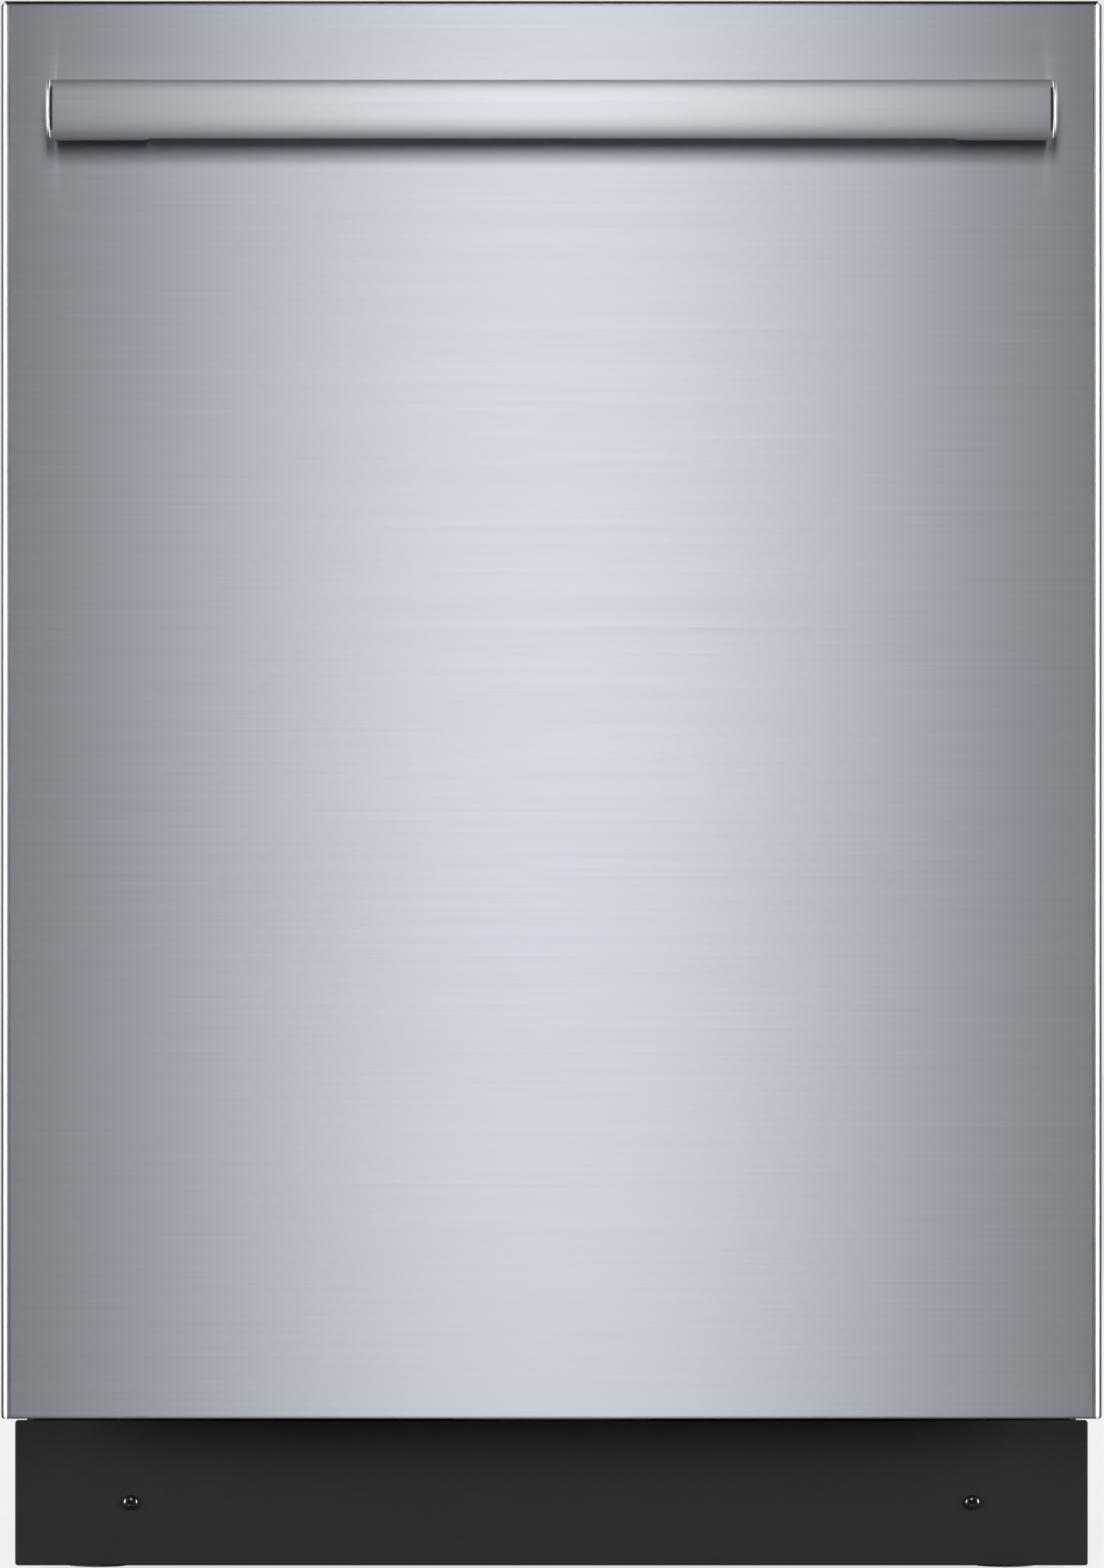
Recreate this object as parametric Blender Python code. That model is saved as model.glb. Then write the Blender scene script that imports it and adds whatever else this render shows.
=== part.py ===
"""Built-in dishwasher, 24 inch class, with a bar handle, a hidden control strip and a toe panel.

Units are metres. +X is the user's right, +Y runs from the door to the back, +Z is up.
The origin is on the floor, under the middle of the object's bounding box. The door is shut.
Every box below is (x0, x1, y0, y1, z0, z1).
"""

import math

import bmesh
import bpy
import numpy as np
from mathutils import Matrix, Vector

# ---- driving dimensions ----
WIDTH = 0.5985  # door skin, side to side
HEIGHT = 0.856  # floor to the top of the control strip, feet wound in
DEPTH = 0.603  # door face to the back of the base
HANDLE_REACH = 0.043  # how far the bar stands in front of the door face
GAP = 0.0003  # clearance between pieces that touch
SHEET = 0.001  # door sheet metal
FACE_Y = HANDLE_REACH - (DEPTH + HANDLE_REACH) / 2
BACK_Y = FACE_Y + DEPTH
SIDES = (("left", -1), ("right", 1))

# ---- door ----
HINGE_Y = FACE_Y + 0.030
HINGE_Z = 0.120
DOOR_BOTTOM = 0.0853
SKIN_TOP = 0.8549
SKIN_DEPTH = 0.022  # how far the folded edges of the skin reach back
EDGE_RADIUS = 0.0043  # rounded upright edges of the skin
LINER_Y = FACE_Y + 0.050  # wet face of the inner door
LINER_FRONT_Y = FACE_Y + SKIN_DEPTH + 0.001
LINER_HALF = 0.286
LINER_BOTTOM = 0.106
LINER_TOP = 0.8375
STRIP_HALF = WIDTH / 2 - SHEET - 0.0008

# ---- handle ----
BAR_HALF = 0.2716  # half length of the bar, without its end caps
CAP_CROWN = 0.0021
BAR_Z = 0.7955
BAR_HEIGHT = 0.0317
BAR_DEPTH = 0.0145
POST_INNER = 0.218
POST_OUTER = 0.2707
POST_RISE = 0.0006  # the posts stand this much above the bar

# ---- tub ----
TUB_Y = FACE_Y + 0.058  # front of the tub's rim
TUB_SHEET = 0.0015
TUB_HALF = 0.272  # inside
TUB_BACK = 0.300  # inside
TUB_FLOOR = 0.140
TUB_ROOF = 0.826
RIM = 0.0135
SPRAY_Y = 0.030  # axis of the spray arms
SUMP_RADIUS = 0.074
ARM_POST_TOP = 0.1497

# ---- base ----
BASE_HALF = 0.288
BASE_FRONT = TUB_Y + 0.010
BASE_BOTTOM = 0.010
BASE_WALL = 0.004
TOE_HALF = 0.2941
TOE_Y = FACE_Y + 0.060
TOE_TOP = 0.0815
TOE_BOTTOM = 0.002
TOE_SHEET = 0.0012
SCREW_X = 0.2308
SCREW_Z = 0.0365
FOOT_X = 0.250
FOOT_YS = (("front", -0.185), ("rear", 0.296))

# ---- racks ----
WIRE = 0.004
WHEEL_RADIUS = 0.016
LOWER_RACK = (-0.252, 0.252, -0.203, 0.270, 0.176, 0.300)
UPPER_RACK = (-0.242, 0.242, -0.200, 0.246, 0.478, 0.590)
TRAY = (-0.240, 0.240, -0.200, 0.240, 0.722, 0.764)

STEEL = ("brushed_steel", (0.60, 0.61, 0.63), 0.32, 1.0)
BRIGHT = ("bright_steel", (0.86, 0.87, 0.88), 0.16, 1.0)
TUB_STEEL = ("tub_steel", (0.66, 0.67, 0.68), 0.28, 1.0)
ZINC = ("zinc_plate", (0.55, 0.56, 0.57), 0.45, 1.0)
BLACK = ("black_plastic", (0.025, 0.025, 0.027), 0.45, 0.0)
TOE_BLACK = ("toe_black", (0.026, 0.026, 0.026), 0.55, 0.0)
GREY = ("grey_plastic", (0.32, 0.33, 0.35), 0.45, 0.0)
RUBBER = ("rubber", (0.03, 0.03, 0.032), 0.75, 0.0)
FELT = ("felt", (0.10, 0.10, 0.105), 0.95, 0.0)
NYLON = ("rack_nylon", (0.30, 0.32, 0.35), 0.40, 0.0)


# ---------------------------------------------------------------- helpers


def paint(spec):
    """The material of that name, made on first use: colour, roughness and metallic value."""
    name, colour, roughness, metallic = spec
    material = bpy.data.materials.get(name)
    if material is None:
        material = bpy.data.materials.new(name)
        material.use_nodes = True
        shader = material.node_tree.nodes["Principled BSDF"]
        shader.inputs["Base Color"].default_value = (*colour, 1)
        shader.inputs["Roughness"].default_value = roughness
        shader.inputs["Metallic"].default_value = metallic
        material.diffuse_color = (*colour, 1)
    return material


def finish(name, bm, spec, origin=(0, 0, 0), smooth=False):
    """Turns a bmesh in world coordinates into an object whose own origin is at origin."""
    bmesh.ops.remove_doubles(bm, verts=bm.verts, dist=1e-6)
    bmesh.ops.recalc_face_normals(bm, faces=bm.faces)
    bm.transform(Matrix.Translation(-Vector(origin)))
    mesh = bpy.data.meshes.new(name)
    bm.to_mesh(mesh)
    bm.free()
    if smooth:
        mesh.shade_smooth()
        mesh.set_sharp_from_angle(angle=math.radians(35))
    mesh.materials.append(paint(spec))
    obj = bpy.data.objects.new(name, mesh)
    obj.location = origin
    bpy.context.scene.collection.objects.link(obj)
    return obj


def side_box(side, x0, x1, *rest):
    """A box whose x range is mirrored to the left when side is -1."""
    return (*sorted((side * x0, side * x1)), *rest)


def boxes_bm(add, cut=()):
    """One closed surface around the union of the boxes in add, less those in cut."""
    every = [*add, *cut]
    marks = [
        sorted({round(box[2 * k + end], 6) for box in every for end in (0, 1)})
        for k in range(3)
    ]
    filled = np.zeros([len(m) + 1 for m in marks], bool)
    for group, value in ((add, True), (cut, False)):
        for box in group:
            index = [
                slice(
                    marks[k].index(round(box[2 * k], 6)) + 1,
                    marks[k].index(round(box[2 * k + 1], 6)) + 1,
                )
                for k in range(3)
            ]
            filled[tuple(index)] = value
    bm = bmesh.new()
    corners = {}

    def corner(i, j, k):
        key = (i, j, k)
        if key not in corners:
            corners[key] = bm.verts.new((marks[0][i], marks[1][j], marks[2][k]))
        return corners[key]

    for axis in range(3):
        u, v = [a for a in range(3) if a != axis]
        ahead = np.roll(filled, -1, axis)
        for cell in np.argwhere(filled != ahead):
            quad = []
            for du, dv in ((0, 0), (1, 0), (1, 1), (0, 1)):
                at = [0, 0, 0]
                at[axis] = cell[axis]
                at[u] = cell[u] - 1 + du
                at[v] = cell[v] - 1 + dv
                quad.append(corner(*at))
            bm.faces.new(quad)
    return bm


def boxes(name, spec, add, cut=(), origin=(0, 0, 0)):
    return finish(name, boxes_bm(add, cut), spec, origin)


def extruded(name, spec, outline, axis, start, end, origin=(0, 0, 0), smooth=False):
    """A prism: outline is in the two other axes, in X, Y, Z order."""
    bm = bmesh.new()
    loop = []
    for a, b in outline:
        point = [a, b]
        point.insert(axis, start)
        loop.append(bm.verts.new(point))
    face = bm.faces.new(loop)
    new = bmesh.ops.extrude_face_region(bm, geom=[face])["geom"]
    shift = [0, 0, 0]
    shift[axis] = end - start
    moved = [v for v in new if isinstance(v, bmesh.types.BMVert)]
    bmesh.ops.translate(bm, verts=moved, vec=shift)
    return finish(name, bm, spec, origin, smooth)


def turned(name, spec, profile, centre, axis="Z", steps=24):
    """A turned solid: profile is a closed outline of (radius, distance along axis) points."""
    bm = bmesh.new()
    rings = []
    for radius, along in profile:
        if radius < 1e-7:
            rings.append([bm.verts.new((0, 0, along))] * steps)
            continue
        ring = [
            bm.verts.new((radius * math.cos(t), radius * math.sin(t), along))
            for t in (2 * math.pi * i / steps for i in range(steps))
        ]
        rings.append(ring)
    for ring, after in zip(rings, rings[1:] + rings[:1]):
        for i in range(steps):
            j = (i + 1) % steps
            corners = list(dict.fromkeys((ring[i], ring[j], after[j], after[i])))
            if len(corners) > 2:
                bm.faces.new(corners)
    turn = {
        "X": Matrix.Rotation(math.pi / 2, 4, "Y"),
        "Y": Matrix.Rotation(-math.pi / 2, 4, "X"),
        "Z": Matrix.Identity(4),
    }[axis]
    bm.transform(Matrix.Translation(centre) @ turn)
    return finish(name, bm, spec, centre, smooth=True)


def boolean(obj, other, operation):
    """Cuts other out of obj, or joins it on; other is only a helper."""
    other.hide_render = True
    other.display_type = "WIRE"
    modifier = obj.modifiers.new(operation.lower(), "BOOLEAN")
    modifier.operation = operation
    modifier.object = other


def drill(obj, centre, axis, radius, length, steps=20):
    """A round hole, centred on centre, longer than the wall it goes through."""
    profile = [(0, -length / 2), (radius, -length / 2), (radius, length / 2), (0, length / 2)]
    cutter = turned(f"{obj.name}_drill", BLACK, profile, centre, axis, steps)
    boolean(obj, cutter, "DIFFERENCE")


def arc(centre, radius, start, end, steps):
    """Points on an arc, with the angles in degrees."""
    angles = [math.radians(start + (end - start) * i / steps) for i in range(steps + 1)]
    return [(centre[0] + radius * math.cos(t), centre[1] + radius * math.sin(t)) for t in angles]


def spaced(low, high, count):
    """count positions from low to high."""
    return [low + (high - low) * i / (count - 1) for i in range(count)]


# ---------------------------------------------------------------- door


def skin_outline(inset):
    """Plan view of the skin, open at the back, with rounded front corners, moved in by inset."""
    half = WIDTH / 2 - inset
    radius = EDGE_RADIUS - inset
    front = FACE_Y + inset
    left = arc((-half + radius, front + radius), radius, 180, 270, 6)
    right = arc((half - radius, front + radius), radius, 270, 360, 6)
    return [*left, *right]


def door_skin():
    """The folded stainless front: face, rounded sides, top and bottom returns, open behind."""
    back = FACE_Y + SKIN_DEPTH
    half = WIDTH / 2
    outer = [*skin_outline(0), (half, back), (-half, back)]
    skin = extruded(
        "door_outer_panel", STEEL, outer, 2, DOOR_BOTTOM, SKIN_TOP, smooth=True
    )
    inner_half = half - SHEET
    inner = [*skin_outline(SHEET), (inner_half, back + SHEET), (-inner_half, back + SHEET)]
    hollow = extruded(
        "door_skin_hollow", STEEL, inner, 2, DOOR_BOTTOM + SHEET, SKIN_TOP - SHEET
    )
    boolean(skin, hollow, "DIFFERENCE")


def oval(height, depth, steps=12):
    """Side view (y, z) of the bar: a crowned front and a flatter back, blended at top and bottom."""
    points = []
    for i in range(2 * steps):
        t = math.pi * i / steps
        power = 0.75
        y = -math.copysign(abs(math.cos(t)) ** power, math.cos(t)) * depth / 2
        z = math.copysign(abs(math.sin(t)) ** power, math.sin(t)) * height / 2
        points.append((y, z))
    return points


def handle():
    """The bar, its two crowned end caps, and the posts that hold it off the door."""
    centre_y = FACE_Y - HANDLE_REACH + BAR_DEPTH / 2
    shape = [(centre_y + y, BAR_Z + z) for y, z in oval(BAR_HEIGHT, BAR_DEPTH)]
    extruded("handle_bar", STEEL, shape, 0, -BAR_HALF, BAR_HALF, smooth=True)
    for word, side in SIDES:
        handle_cap(word, side, centre_y)
        handle_post(word, side, centre_y)


def handle_cap(word, side, centre_y):
    bm = bmesh.new()
    rings = []
    for share, out in ((1.0, GAP), (0.97, 0.45 * CAP_CROWN), (0.55, CAP_CROWN)):
        x = side * (BAR_HALF + out)
        shape = oval(BAR_HEIGHT * share, BAR_DEPTH * share)
        rings.append([bm.verts.new((x, centre_y + y, BAR_Z + z)) for y, z in shape])
    bm.faces.new(rings[0])
    bm.faces.new(rings[-1])
    for low, high in zip(rings, rings[1:]):
        for i in range(len(low)):
            j = (i + 1) % len(low)
            bm.faces.new((low[i], low[j], high[j], high[i]))
    finish(f"handle_end_cap_{word}", bm, BRIGHT, smooth=True)


def handle_post(word, side, centre_y):
    """A block with rounded corners, from the door face to the back of the bar."""
    corner = 0.003
    bottom = BAR_Z - BAR_HEIGHT / 2 + 0.0006
    top = BAR_Z + BAR_HEIGHT / 2 + POST_RISE
    x0, x1 = sorted((side * POST_INNER, side * POST_OUTER))
    outline = [
        *arc((x1 - corner, top - corner), corner, 0, 90, 3),
        *arc((x0 + corner, top - corner), corner, 90, 180, 3),
        *arc((x0 + corner, bottom + corner), corner, 180, 270, 3),
        *arc((x1 - corner, bottom + corner), corner, 270, 360, 3),
    ]
    back_of_bar = centre_y + BAR_DEPTH / 2 + GAP
    extruded(f"handle_post_{word}", STEEL, outline, 1, back_of_bar, FACE_Y - GAP, smooth=True)


DISPENSER = (0.000, 0.150, -0.262, LINER_Y, 0.415, 0.560)


def door_liner():
    """The stainless inner door: a pan with a flange round its front and a window for the dispenser."""
    x0, x1, _, _, z0, z1 = DISPENSER
    pan = (-LINER_HALF, LINER_HALF, LINER_FRONT_Y, LINER_Y, LINER_BOTTOM, LINER_TOP)
    flange = (
        -STRIP_HALF,
        STRIP_HALF,
        LINER_FRONT_Y,
        LINER_FRONT_Y + SHEET,
        DOOR_BOTTOM + 0.0025,
        LINER_TOP,
    )
    inside = (
        -LINER_HALF + SHEET,
        LINER_HALF - SHEET,
        LINER_FRONT_Y,
        LINER_Y - SHEET,
        LINER_BOTTOM + SHEET,
        LINER_TOP - SHEET,
    )
    window = (x0 - GAP, x1 + GAP, LINER_Y - SHEET, LINER_Y, z0 - GAP, z1 + GAP)
    boxes("door_inner_liner", TUB_STEEL, [pan, flange], [inside, window])


BUTTON_Y = LINER_Y - 0.014
BUTTON_SIZE = (0.016, 0.009, 0.005)
BUTTONS = (
    ("power_button", -0.240),
    ("program_button_1", -0.170),
    ("program_button_2", -0.140),
    ("start_button", 0.240),
)
LATCH_HALF = 0.012


def control_strip():
    """The black strip along the door's top edge, with wells for the buttons and the latch mouth."""
    body = (-STRIP_HALF, STRIP_HALF, LINER_FRONT_Y, LINER_Y, LINER_TOP + 0.0005, HEIGHT)
    lip = (-STRIP_HALF, STRIP_HALF, FACE_Y + SHEET, LINER_FRONT_Y, SKIN_TOP + GAP, HEIGHT)
    mouth = (-LATCH_HALF, LATCH_HALF, LINER_Y - 0.020, LINER_Y, LINER_TOP + 0.0015, 0.852)
    wells = []
    for _, x in BUTTONS:
        half_x, half_y, deep = (
            BUTTON_SIZE[0] / 2 + GAP,
            BUTTON_SIZE[1] / 2 + GAP,
            BUTTON_SIZE[2] + 0.002,
        )
        wells.append(
            (x - half_x, x + half_x, BUTTON_Y - half_y, BUTTON_Y + half_y, HEIGHT - deep, HEIGHT)
        )
    boxes("control_panel", BLACK, [body, lip], [mouth, *wells])


def buttons():
    """Keys that sit flush in the strip and travel down into their wells."""
    size_x, size_y, size_z = BUTTON_SIZE
    top = HEIGHT - 0.0002
    for name, x in BUTTONS:
        key = (
            x - size_x / 2,
            x + size_x / 2,
            BUTTON_Y - size_y / 2,
            BUTTON_Y + size_y / 2,
            top - size_z,
            top,
        )
        boxes(name, GREY, [key], origin=(x, BUTTON_Y, top))


CUP = (0.020, 0.084, -0.254, LINER_Y + 0.002, 0.480, 0.542)
CAP_X = 0.117
CAP_Z = 0.515
CAP_RADIUS = 0.0165


def dispenser():
    """The detergent dispenser let into the inner door, with an open cup, and its flange."""
    x0, x1, y0, y1, z0, z1 = DISPENSER
    rim = 0.006
    flange = (x0 - rim, x1 + rim, y1 + GAP, y1 + 0.002, z0 - rim, z1 + rim)
    body = (x0, x1, y0, y1 + GAP, z0, z1)
    housing = boxes("detergent_dispenser", GREY, [body, flange], [CUP])
    drill(housing, (CAP_X, y1, CAP_Z), "Y", 0.0125, 0.018)
    lid_y = y1 + 0.002 + GAP
    margin = 0.004
    cx0, cx1, _, _, cz0, cz1 = CUP
    lid = (cx0 - margin, cx1 + margin, lid_y, lid_y + 0.002, cz0 - margin, cz1 + margin)
    ridge_z = (cz0 + cz1) / 2
    ridge = (cx0 + 0.01, cx1 - 0.01, lid_y + 0.002, lid_y + 0.0045, ridge_z, ridge_z + 0.003)
    middle = ((cx0 + cx1) / 2, lid_y, ridge_z)
    boxes("dispenser_lid", GREY, [lid, ridge], origin=middle)


def rinse_cap():
    """The round rinse aid cap: a plug in the housing, a disc and a grip bar across it."""
    seat = LINER_Y + 0.002 + GAP
    profile = [
        (0, -0.006),
        (0.0118, -0.006),
        (0.0118, 0),
        (CAP_RADIUS, 0),
        (CAP_RADIUS, 0.003),
        (0, 0.003),
    ]
    cap = turned("rinse_aid_cap", GREY, profile, (CAP_X, seat, CAP_Z), "Y", 20)
    grip = (
        CAP_X - 0.013,
        CAP_X + 0.013,
        seat + 0.002,
        seat + 0.006,
        CAP_Z - 0.002,
        CAP_Z + 0.002,
    )
    boolean(cap, boxes("rinse_cap_grip", GREY, [grip]), "UNION")


LATCH_PIVOT = (0, LINER_Y - 0.016, 0.8440)
TONGUE = (-0.008, 0.008, LINER_Y - 0.013, TUB_Y + 0.002, 0.8462, 0.8486)


def latch():
    """The sprung pawl in the door's latch mouth, and the strike plate on the tub."""
    _, y, z = LATCH_PIVOT
    pawl = (-0.007, 0.007, y, LINER_Y - 0.002, z - 0.0015, z + 0.0015)
    hub = (-0.007, 0.007, y - 0.0025, y, z - 0.002, z + 0.002)
    boxes("latch_catch", ZINC, [pawl, hub], origin=LATCH_PIVOT)
    leg_y = TUB_Y + TUB_SHEET + GAP
    leg = (-0.030, 0.030, leg_y, leg_y + 0.0015, TUB_ROOF + 0.003, 0.8486)
    tongue = (*TONGUE[:3], leg_y, *TONGUE[4:])
    boxes("strike_plate", ZINC, [leg, tongue])


def door_seal():
    """The rubber lip along the foot of the inner door, between the paths of the rack's wheels."""
    half = 0.2535
    lip = (-half, half, LINER_Y + GAP, LINER_Y + 0.004, 0.108, 0.114)
    fin = (-half, half, LINER_Y + GAP, LINER_Y + 0.0018, 0.114, 0.120)
    boxes("door_bottom_seal", RUBBER, [lip, fin])


ARM_X = (0.2880, 0.2910)
BRACKET_X = (0.2920, 0.2950)
PIN_RADIUS = 0.003


def hinges():
    """A steel arm on each side of the door, turning on the pin of a bracket on the base."""
    for word, side in SIDES:
        leg = side_box(side, *ARM_X, HINGE_Y - 0.0050, HINGE_Y + 0.014, HINGE_Z, 0.260)
        foot = side_box(
            side, *ARM_X, HINGE_Y - 0.0055, HINGE_Y + 0.014, HINGE_Z - 0.0055, HINGE_Z
        )
        arm = boxes(f"hinge_arm_{word}", ZINC, [leg, foot], origin=(0, HINGE_Y, HINGE_Z))
        middle = (side * sum(ARM_X) / 2, HINGE_Y, HINGE_Z)
        drill(arm, middle, "X", PIN_RADIUS + GAP, 0.012)
        hinge_bracket(word, side)


def hinge_bracket(word, side):
    """A plate from the base's side wall to the hinge axis, with the pin standing inwards."""
    nose = 0.0052
    bar = side_box(
        side, *BRACKET_X, HINGE_Y, BASE_FRONT + 0.030, HINGE_Z - 0.0040, HINGE_Z + 0.012
    )
    tab = side_box(
        side,
        BASE_HALF + GAP,
        BRACKET_X[1],
        BASE_FRONT + 0.006,
        BASE_FRONT + 0.030,
        HINGE_Z - 0.0040,
        HINGE_Z + 0.012,
    )
    bracket = boxes(f"hinge_bracket_{word}", ZINC, [bar, tab])
    thick = BRACKET_X[1] - BRACKET_X[0]
    reach = BRACKET_X[1] - ARM_X[0]
    profile = [(0, 0), (nose, 0), (nose, thick), (PIN_RADIUS, thick), (PIN_RADIUS, reach), (0, reach)]
    if side < 0:
        pin_at, flipped = -BRACKET_X[1], profile
    else:
        pin_at, flipped = BRACKET_X[1], [(r, -a) for r, a in profile]
    pin = turned(f"hinge_pin_{word}", ZINC, flipped, (pin_at, HINGE_Y, HINGE_Z), "X", 20)
    boolean(bracket, pin, "UNION")


# ---------------------------------------------------------------- tub


TRAY_RAIL_Z = 0.7370  # top of the ledges the cutlery tray slides on
LEDGE = (0.2460, TUB_HALF, -0.210, 0.262, TRAY_RAIL_Z - 0.006, TRAY_RAIL_Z)


def tub():
    """The stainless tub, open at the front: walls, rim, tray ledges, and the sump's opening."""
    t = TUB_SHEET
    shell = (-TUB_HALF - t, TUB_HALF + t, TUB_Y, TUB_BACK + t, TUB_FLOOR - t, TUB_ROOF + t)
    rim = (-TUB_HALF - RIM, TUB_HALF + RIM, TUB_Y, TUB_Y + t, TUB_FLOOR - RIM, TUB_ROOF + RIM)
    inside = (-TUB_HALF, TUB_HALF, TUB_Y, TUB_BACK, TUB_FLOOR, TUB_ROOF)
    ledges = [side_box(side, *LEDGE) for _, side in SIDES]
    tub_object = boxes("tub", TUB_STEEL, [shell, rim], around(inside, ledges))
    drill(tub_object, (0, SPRAY_Y, TUB_FLOOR), "Z", SUMP_RADIUS, 0.020, 32)


def around(hollow, solids):
    """The hollow as smaller boxes that leave the given solids inside it standing."""
    marks = [
        sorted(
            {hollow[2 * k], hollow[2 * k + 1]}
            | {
                min(max(solid[2 * k + end], hollow[2 * k]), hollow[2 * k + 1])
                for solid in solids
                for end in (0, 1)
            }
        )
        for k in range(3)
    ]
    free = []
    for x0, x1 in zip(marks[0], marks[0][1:]):
        for y0, y1 in zip(marks[1], marks[1][1:]):
            for z0, z1 in zip(marks[2], marks[2][1:]):
                middle = ((x0 + x1) / 2, (y0 + y1) / 2, (z0 + z1) / 2)
                inside = any(
                    all(s[2 * k] < middle[k] < s[2 * k + 1] for k in range(3)) for s in solids
                )
                if not inside:
                    free.append((x0, x1, y0, y1, z0, z1))
    return free


GASKET_X = (0.2742, 0.2830)
GASKET_Z = (0.137, 0.8362)


def gasket():
    """The rubber seal on the rim: an upside-down U between the tub and the inner door."""
    inner, outer = GASKET_X
    low, top = GASKET_Z
    front, back = LINER_Y + GAP, TUB_Y - GAP
    legs = [side_box(side, inner, outer, front, back, low, top) for _, side in SIDES]
    bridge = (-outer, outer, front, back, top - (outer - inner), top)
    boxes("tub_gasket", RUBBER, [*legs, bridge])


BLANKET = 0.010  # thickness of the sound blanket
BLANKET_AIR = 0.0005  # between the blanket and the tub's sheet


def insulation():
    """The sound blanket over the tub's sides, roof and back."""
    thick = BLANKET
    inner = TUB_HALF + TUB_SHEET + BLANKET_AIR
    roof = TUB_ROOF + TUB_SHEET + BLANKET_AIR
    back = TUB_BACK + TUB_SHEET + BLANKET_AIR
    front = TUB_Y + 0.022
    low = TUB_FLOOR + 0.005
    outside = (-inner - thick, inner + thick, front, back + thick, low, roof + thick)
    inside = (-inner, inner, front, back, low, roof)
    boxes("insulation_blanket", FELT, [outside], [inside])


TAB_X = (0.165, 0.205)
TAB_TOP = 0.8535
TAB_REACH = 0.032
TAB_SHEET = 0.0015


def brackets():
    """The two steel tabs that screw up into the worktop."""
    inner, outer = TAB_X
    top = TAB_TOP
    leg_y = TUB_Y + TUB_SHEET + GAP
    for word, side in SIDES:
        leg = side_box(side, inner, outer, leg_y, leg_y + TAB_SHEET, TUB_ROOF + 0.003, top)
        plate = side_box(side, inner, outer, leg_y, leg_y + TAB_REACH, top - TAB_SHEET, top)
        tab = boxes(f"counter_bracket_{word}", ZINC, [leg, plate])
        hole = (side * (inner + outer) / 2, leg_y + 0.75 * TAB_REACH, top)
        drill(tab, hole, "Z", 0.0025, 0.010, 16)


def feed_tube():
    """The water riser up the tub's back wall and along its roof to the top spray arm."""
    half = 0.011
    back = TUB_BACK - 0.002
    riser = (-half, half, back - 0.012, back, TUB_FLOOR + 0.006, 0.822)
    run = (-half, half, SPRAY_Y - half, back, 0.812, 0.822)
    outlet = (-0.018, 0.018, back - 0.024, back - 0.012, 0.455, 0.480)
    boxes("water_feed_tube", NYLON, [riser, run, outlet])


SUMP_BOTTOM = 0.062


def sump():
    """The bowl under the tub's floor, its clamp flange, and the post that the lower arm turns on."""
    floor = TUB_FLOOR - TUB_SHEET - GAP
    bottom = SUMP_BOTTOM
    profile = [
        (0, bottom),
        (0.050, bottom),
        (0.070, 0.090),
        (0.070, floor - 0.006),
        (0.086, floor - 0.006),
        (0.086, floor),
        (0.066, floor),
        (0.066, 0.094),
        (0.047, bottom + 0.005),
        (0.009, bottom + 0.005),
        (0.009, ARM_POST_TOP),
        (0, ARM_POST_TOP),
    ]
    turned("sump", GREY, profile, (0, SPRAY_Y, 0), "Z", 28)


FILTER_Y = SPRAY_Y - 0.036
FILTER_RADIUS = 0.026


def filter_cylinder():
    """The cup-shaped filter that twists out of the sump, with a grip across its mouth."""
    bottom, shoulder, top = 0.090, 0.098, 0.146
    wall = 0.003
    profile = [
        (0, bottom),
        (FILTER_RADIUS - 0.004, bottom),
        (FILTER_RADIUS, shoulder),
        (FILTER_RADIUS, top),
        (FILTER_RADIUS - wall, top),
        (FILTER_RADIUS - wall, shoulder + 0.002),
        (0, shoulder + 0.002),
    ]
    cup = turned("filter_cylinder", GREY, profile, (0, FILTER_Y, 0), "Z", 24)
    half = FILTER_RADIUS - 0.001
    grip = (-half, half, FILTER_Y - 0.002, FILTER_Y + 0.002, top - 0.016, top - 0.002)
    boolean(cup, boxes("filter_grip", GREY, [grip]), "UNION")


# ---------------------------------------------------------------- base


def base_pan():
    """The plastic base: floor, side and back walls, ledges for the tub, foot bosses, screw posts."""
    top = TUB_FLOOR - TUB_SHEET - GAP
    wall = BASE_WALL
    block = (-BASE_HALF, BASE_HALF, BASE_FRONT, BACK_Y, BASE_BOTTOM, top)
    inside = (-BASE_HALF + wall, BASE_HALF - wall, BASE_FRONT, BACK_Y - wall, BASE_BOTTOM + wall, top)
    keep = []
    for _, side in SIDES:
        keep.append(side_box(side, 0.2640, BASE_HALF, BASE_FRONT, BACK_Y, top - 0.008, top))
        for _, y in FOOT_YS:
            keep.append(
                side_box(side, FOOT_X - 0.012, FOOT_X + 0.012, y - 0.012, y + 0.012, BASE_BOTTOM, 0.050)
            )
    posts = [
        side_box(
            side,
            SCREW_X - 0.012,
            SCREW_X + 0.012,
            TOE_Y + TOE_SHEET + GAP,
            BASE_FRONT + 0.006,
            BASE_BOTTOM,
            0.056,
        )
        for _, side in SIDES
    ]
    keep.extend(posts)
    base = finish("base_pan", boxes_bm([block, *posts], around(inside, keep)), BLACK)
    for _, side in SIDES:
        for _, y in FOOT_YS:
            drill(base, (side * FOOT_X, y, 0.030), "Z", FOOT_STEM + GAP, 0.060, 16)
        drill(base, (side * SCREW_X, TOE_Y + 0.006, SCREW_Z), "Y", SCREW_SHANK + GAP, 0.022, 12)


FOOT_STEM = 0.005
SCREW_SHANK = 0.0019


def feet():
    """Four screw feet, wound right in: the pad is up against the base."""
    pad_top = BASE_BOTTOM - GAP
    profile = [
        (0, 0),
        (0.016, 0),
        (0.017, 0.002),
        (0.017, pad_top - 0.002),
        (0.010, pad_top),
        (FOOT_STEM, pad_top),
        (FOOT_STEM, 0.058),
        (0, 0.058),
    ]
    for row, y in FOOT_YS:
        for word, side in SIDES:
            turned(f"{row}_foot_{word}", GREY, profile, (side * FOOT_X, y, 0), "Z", 16)


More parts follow.
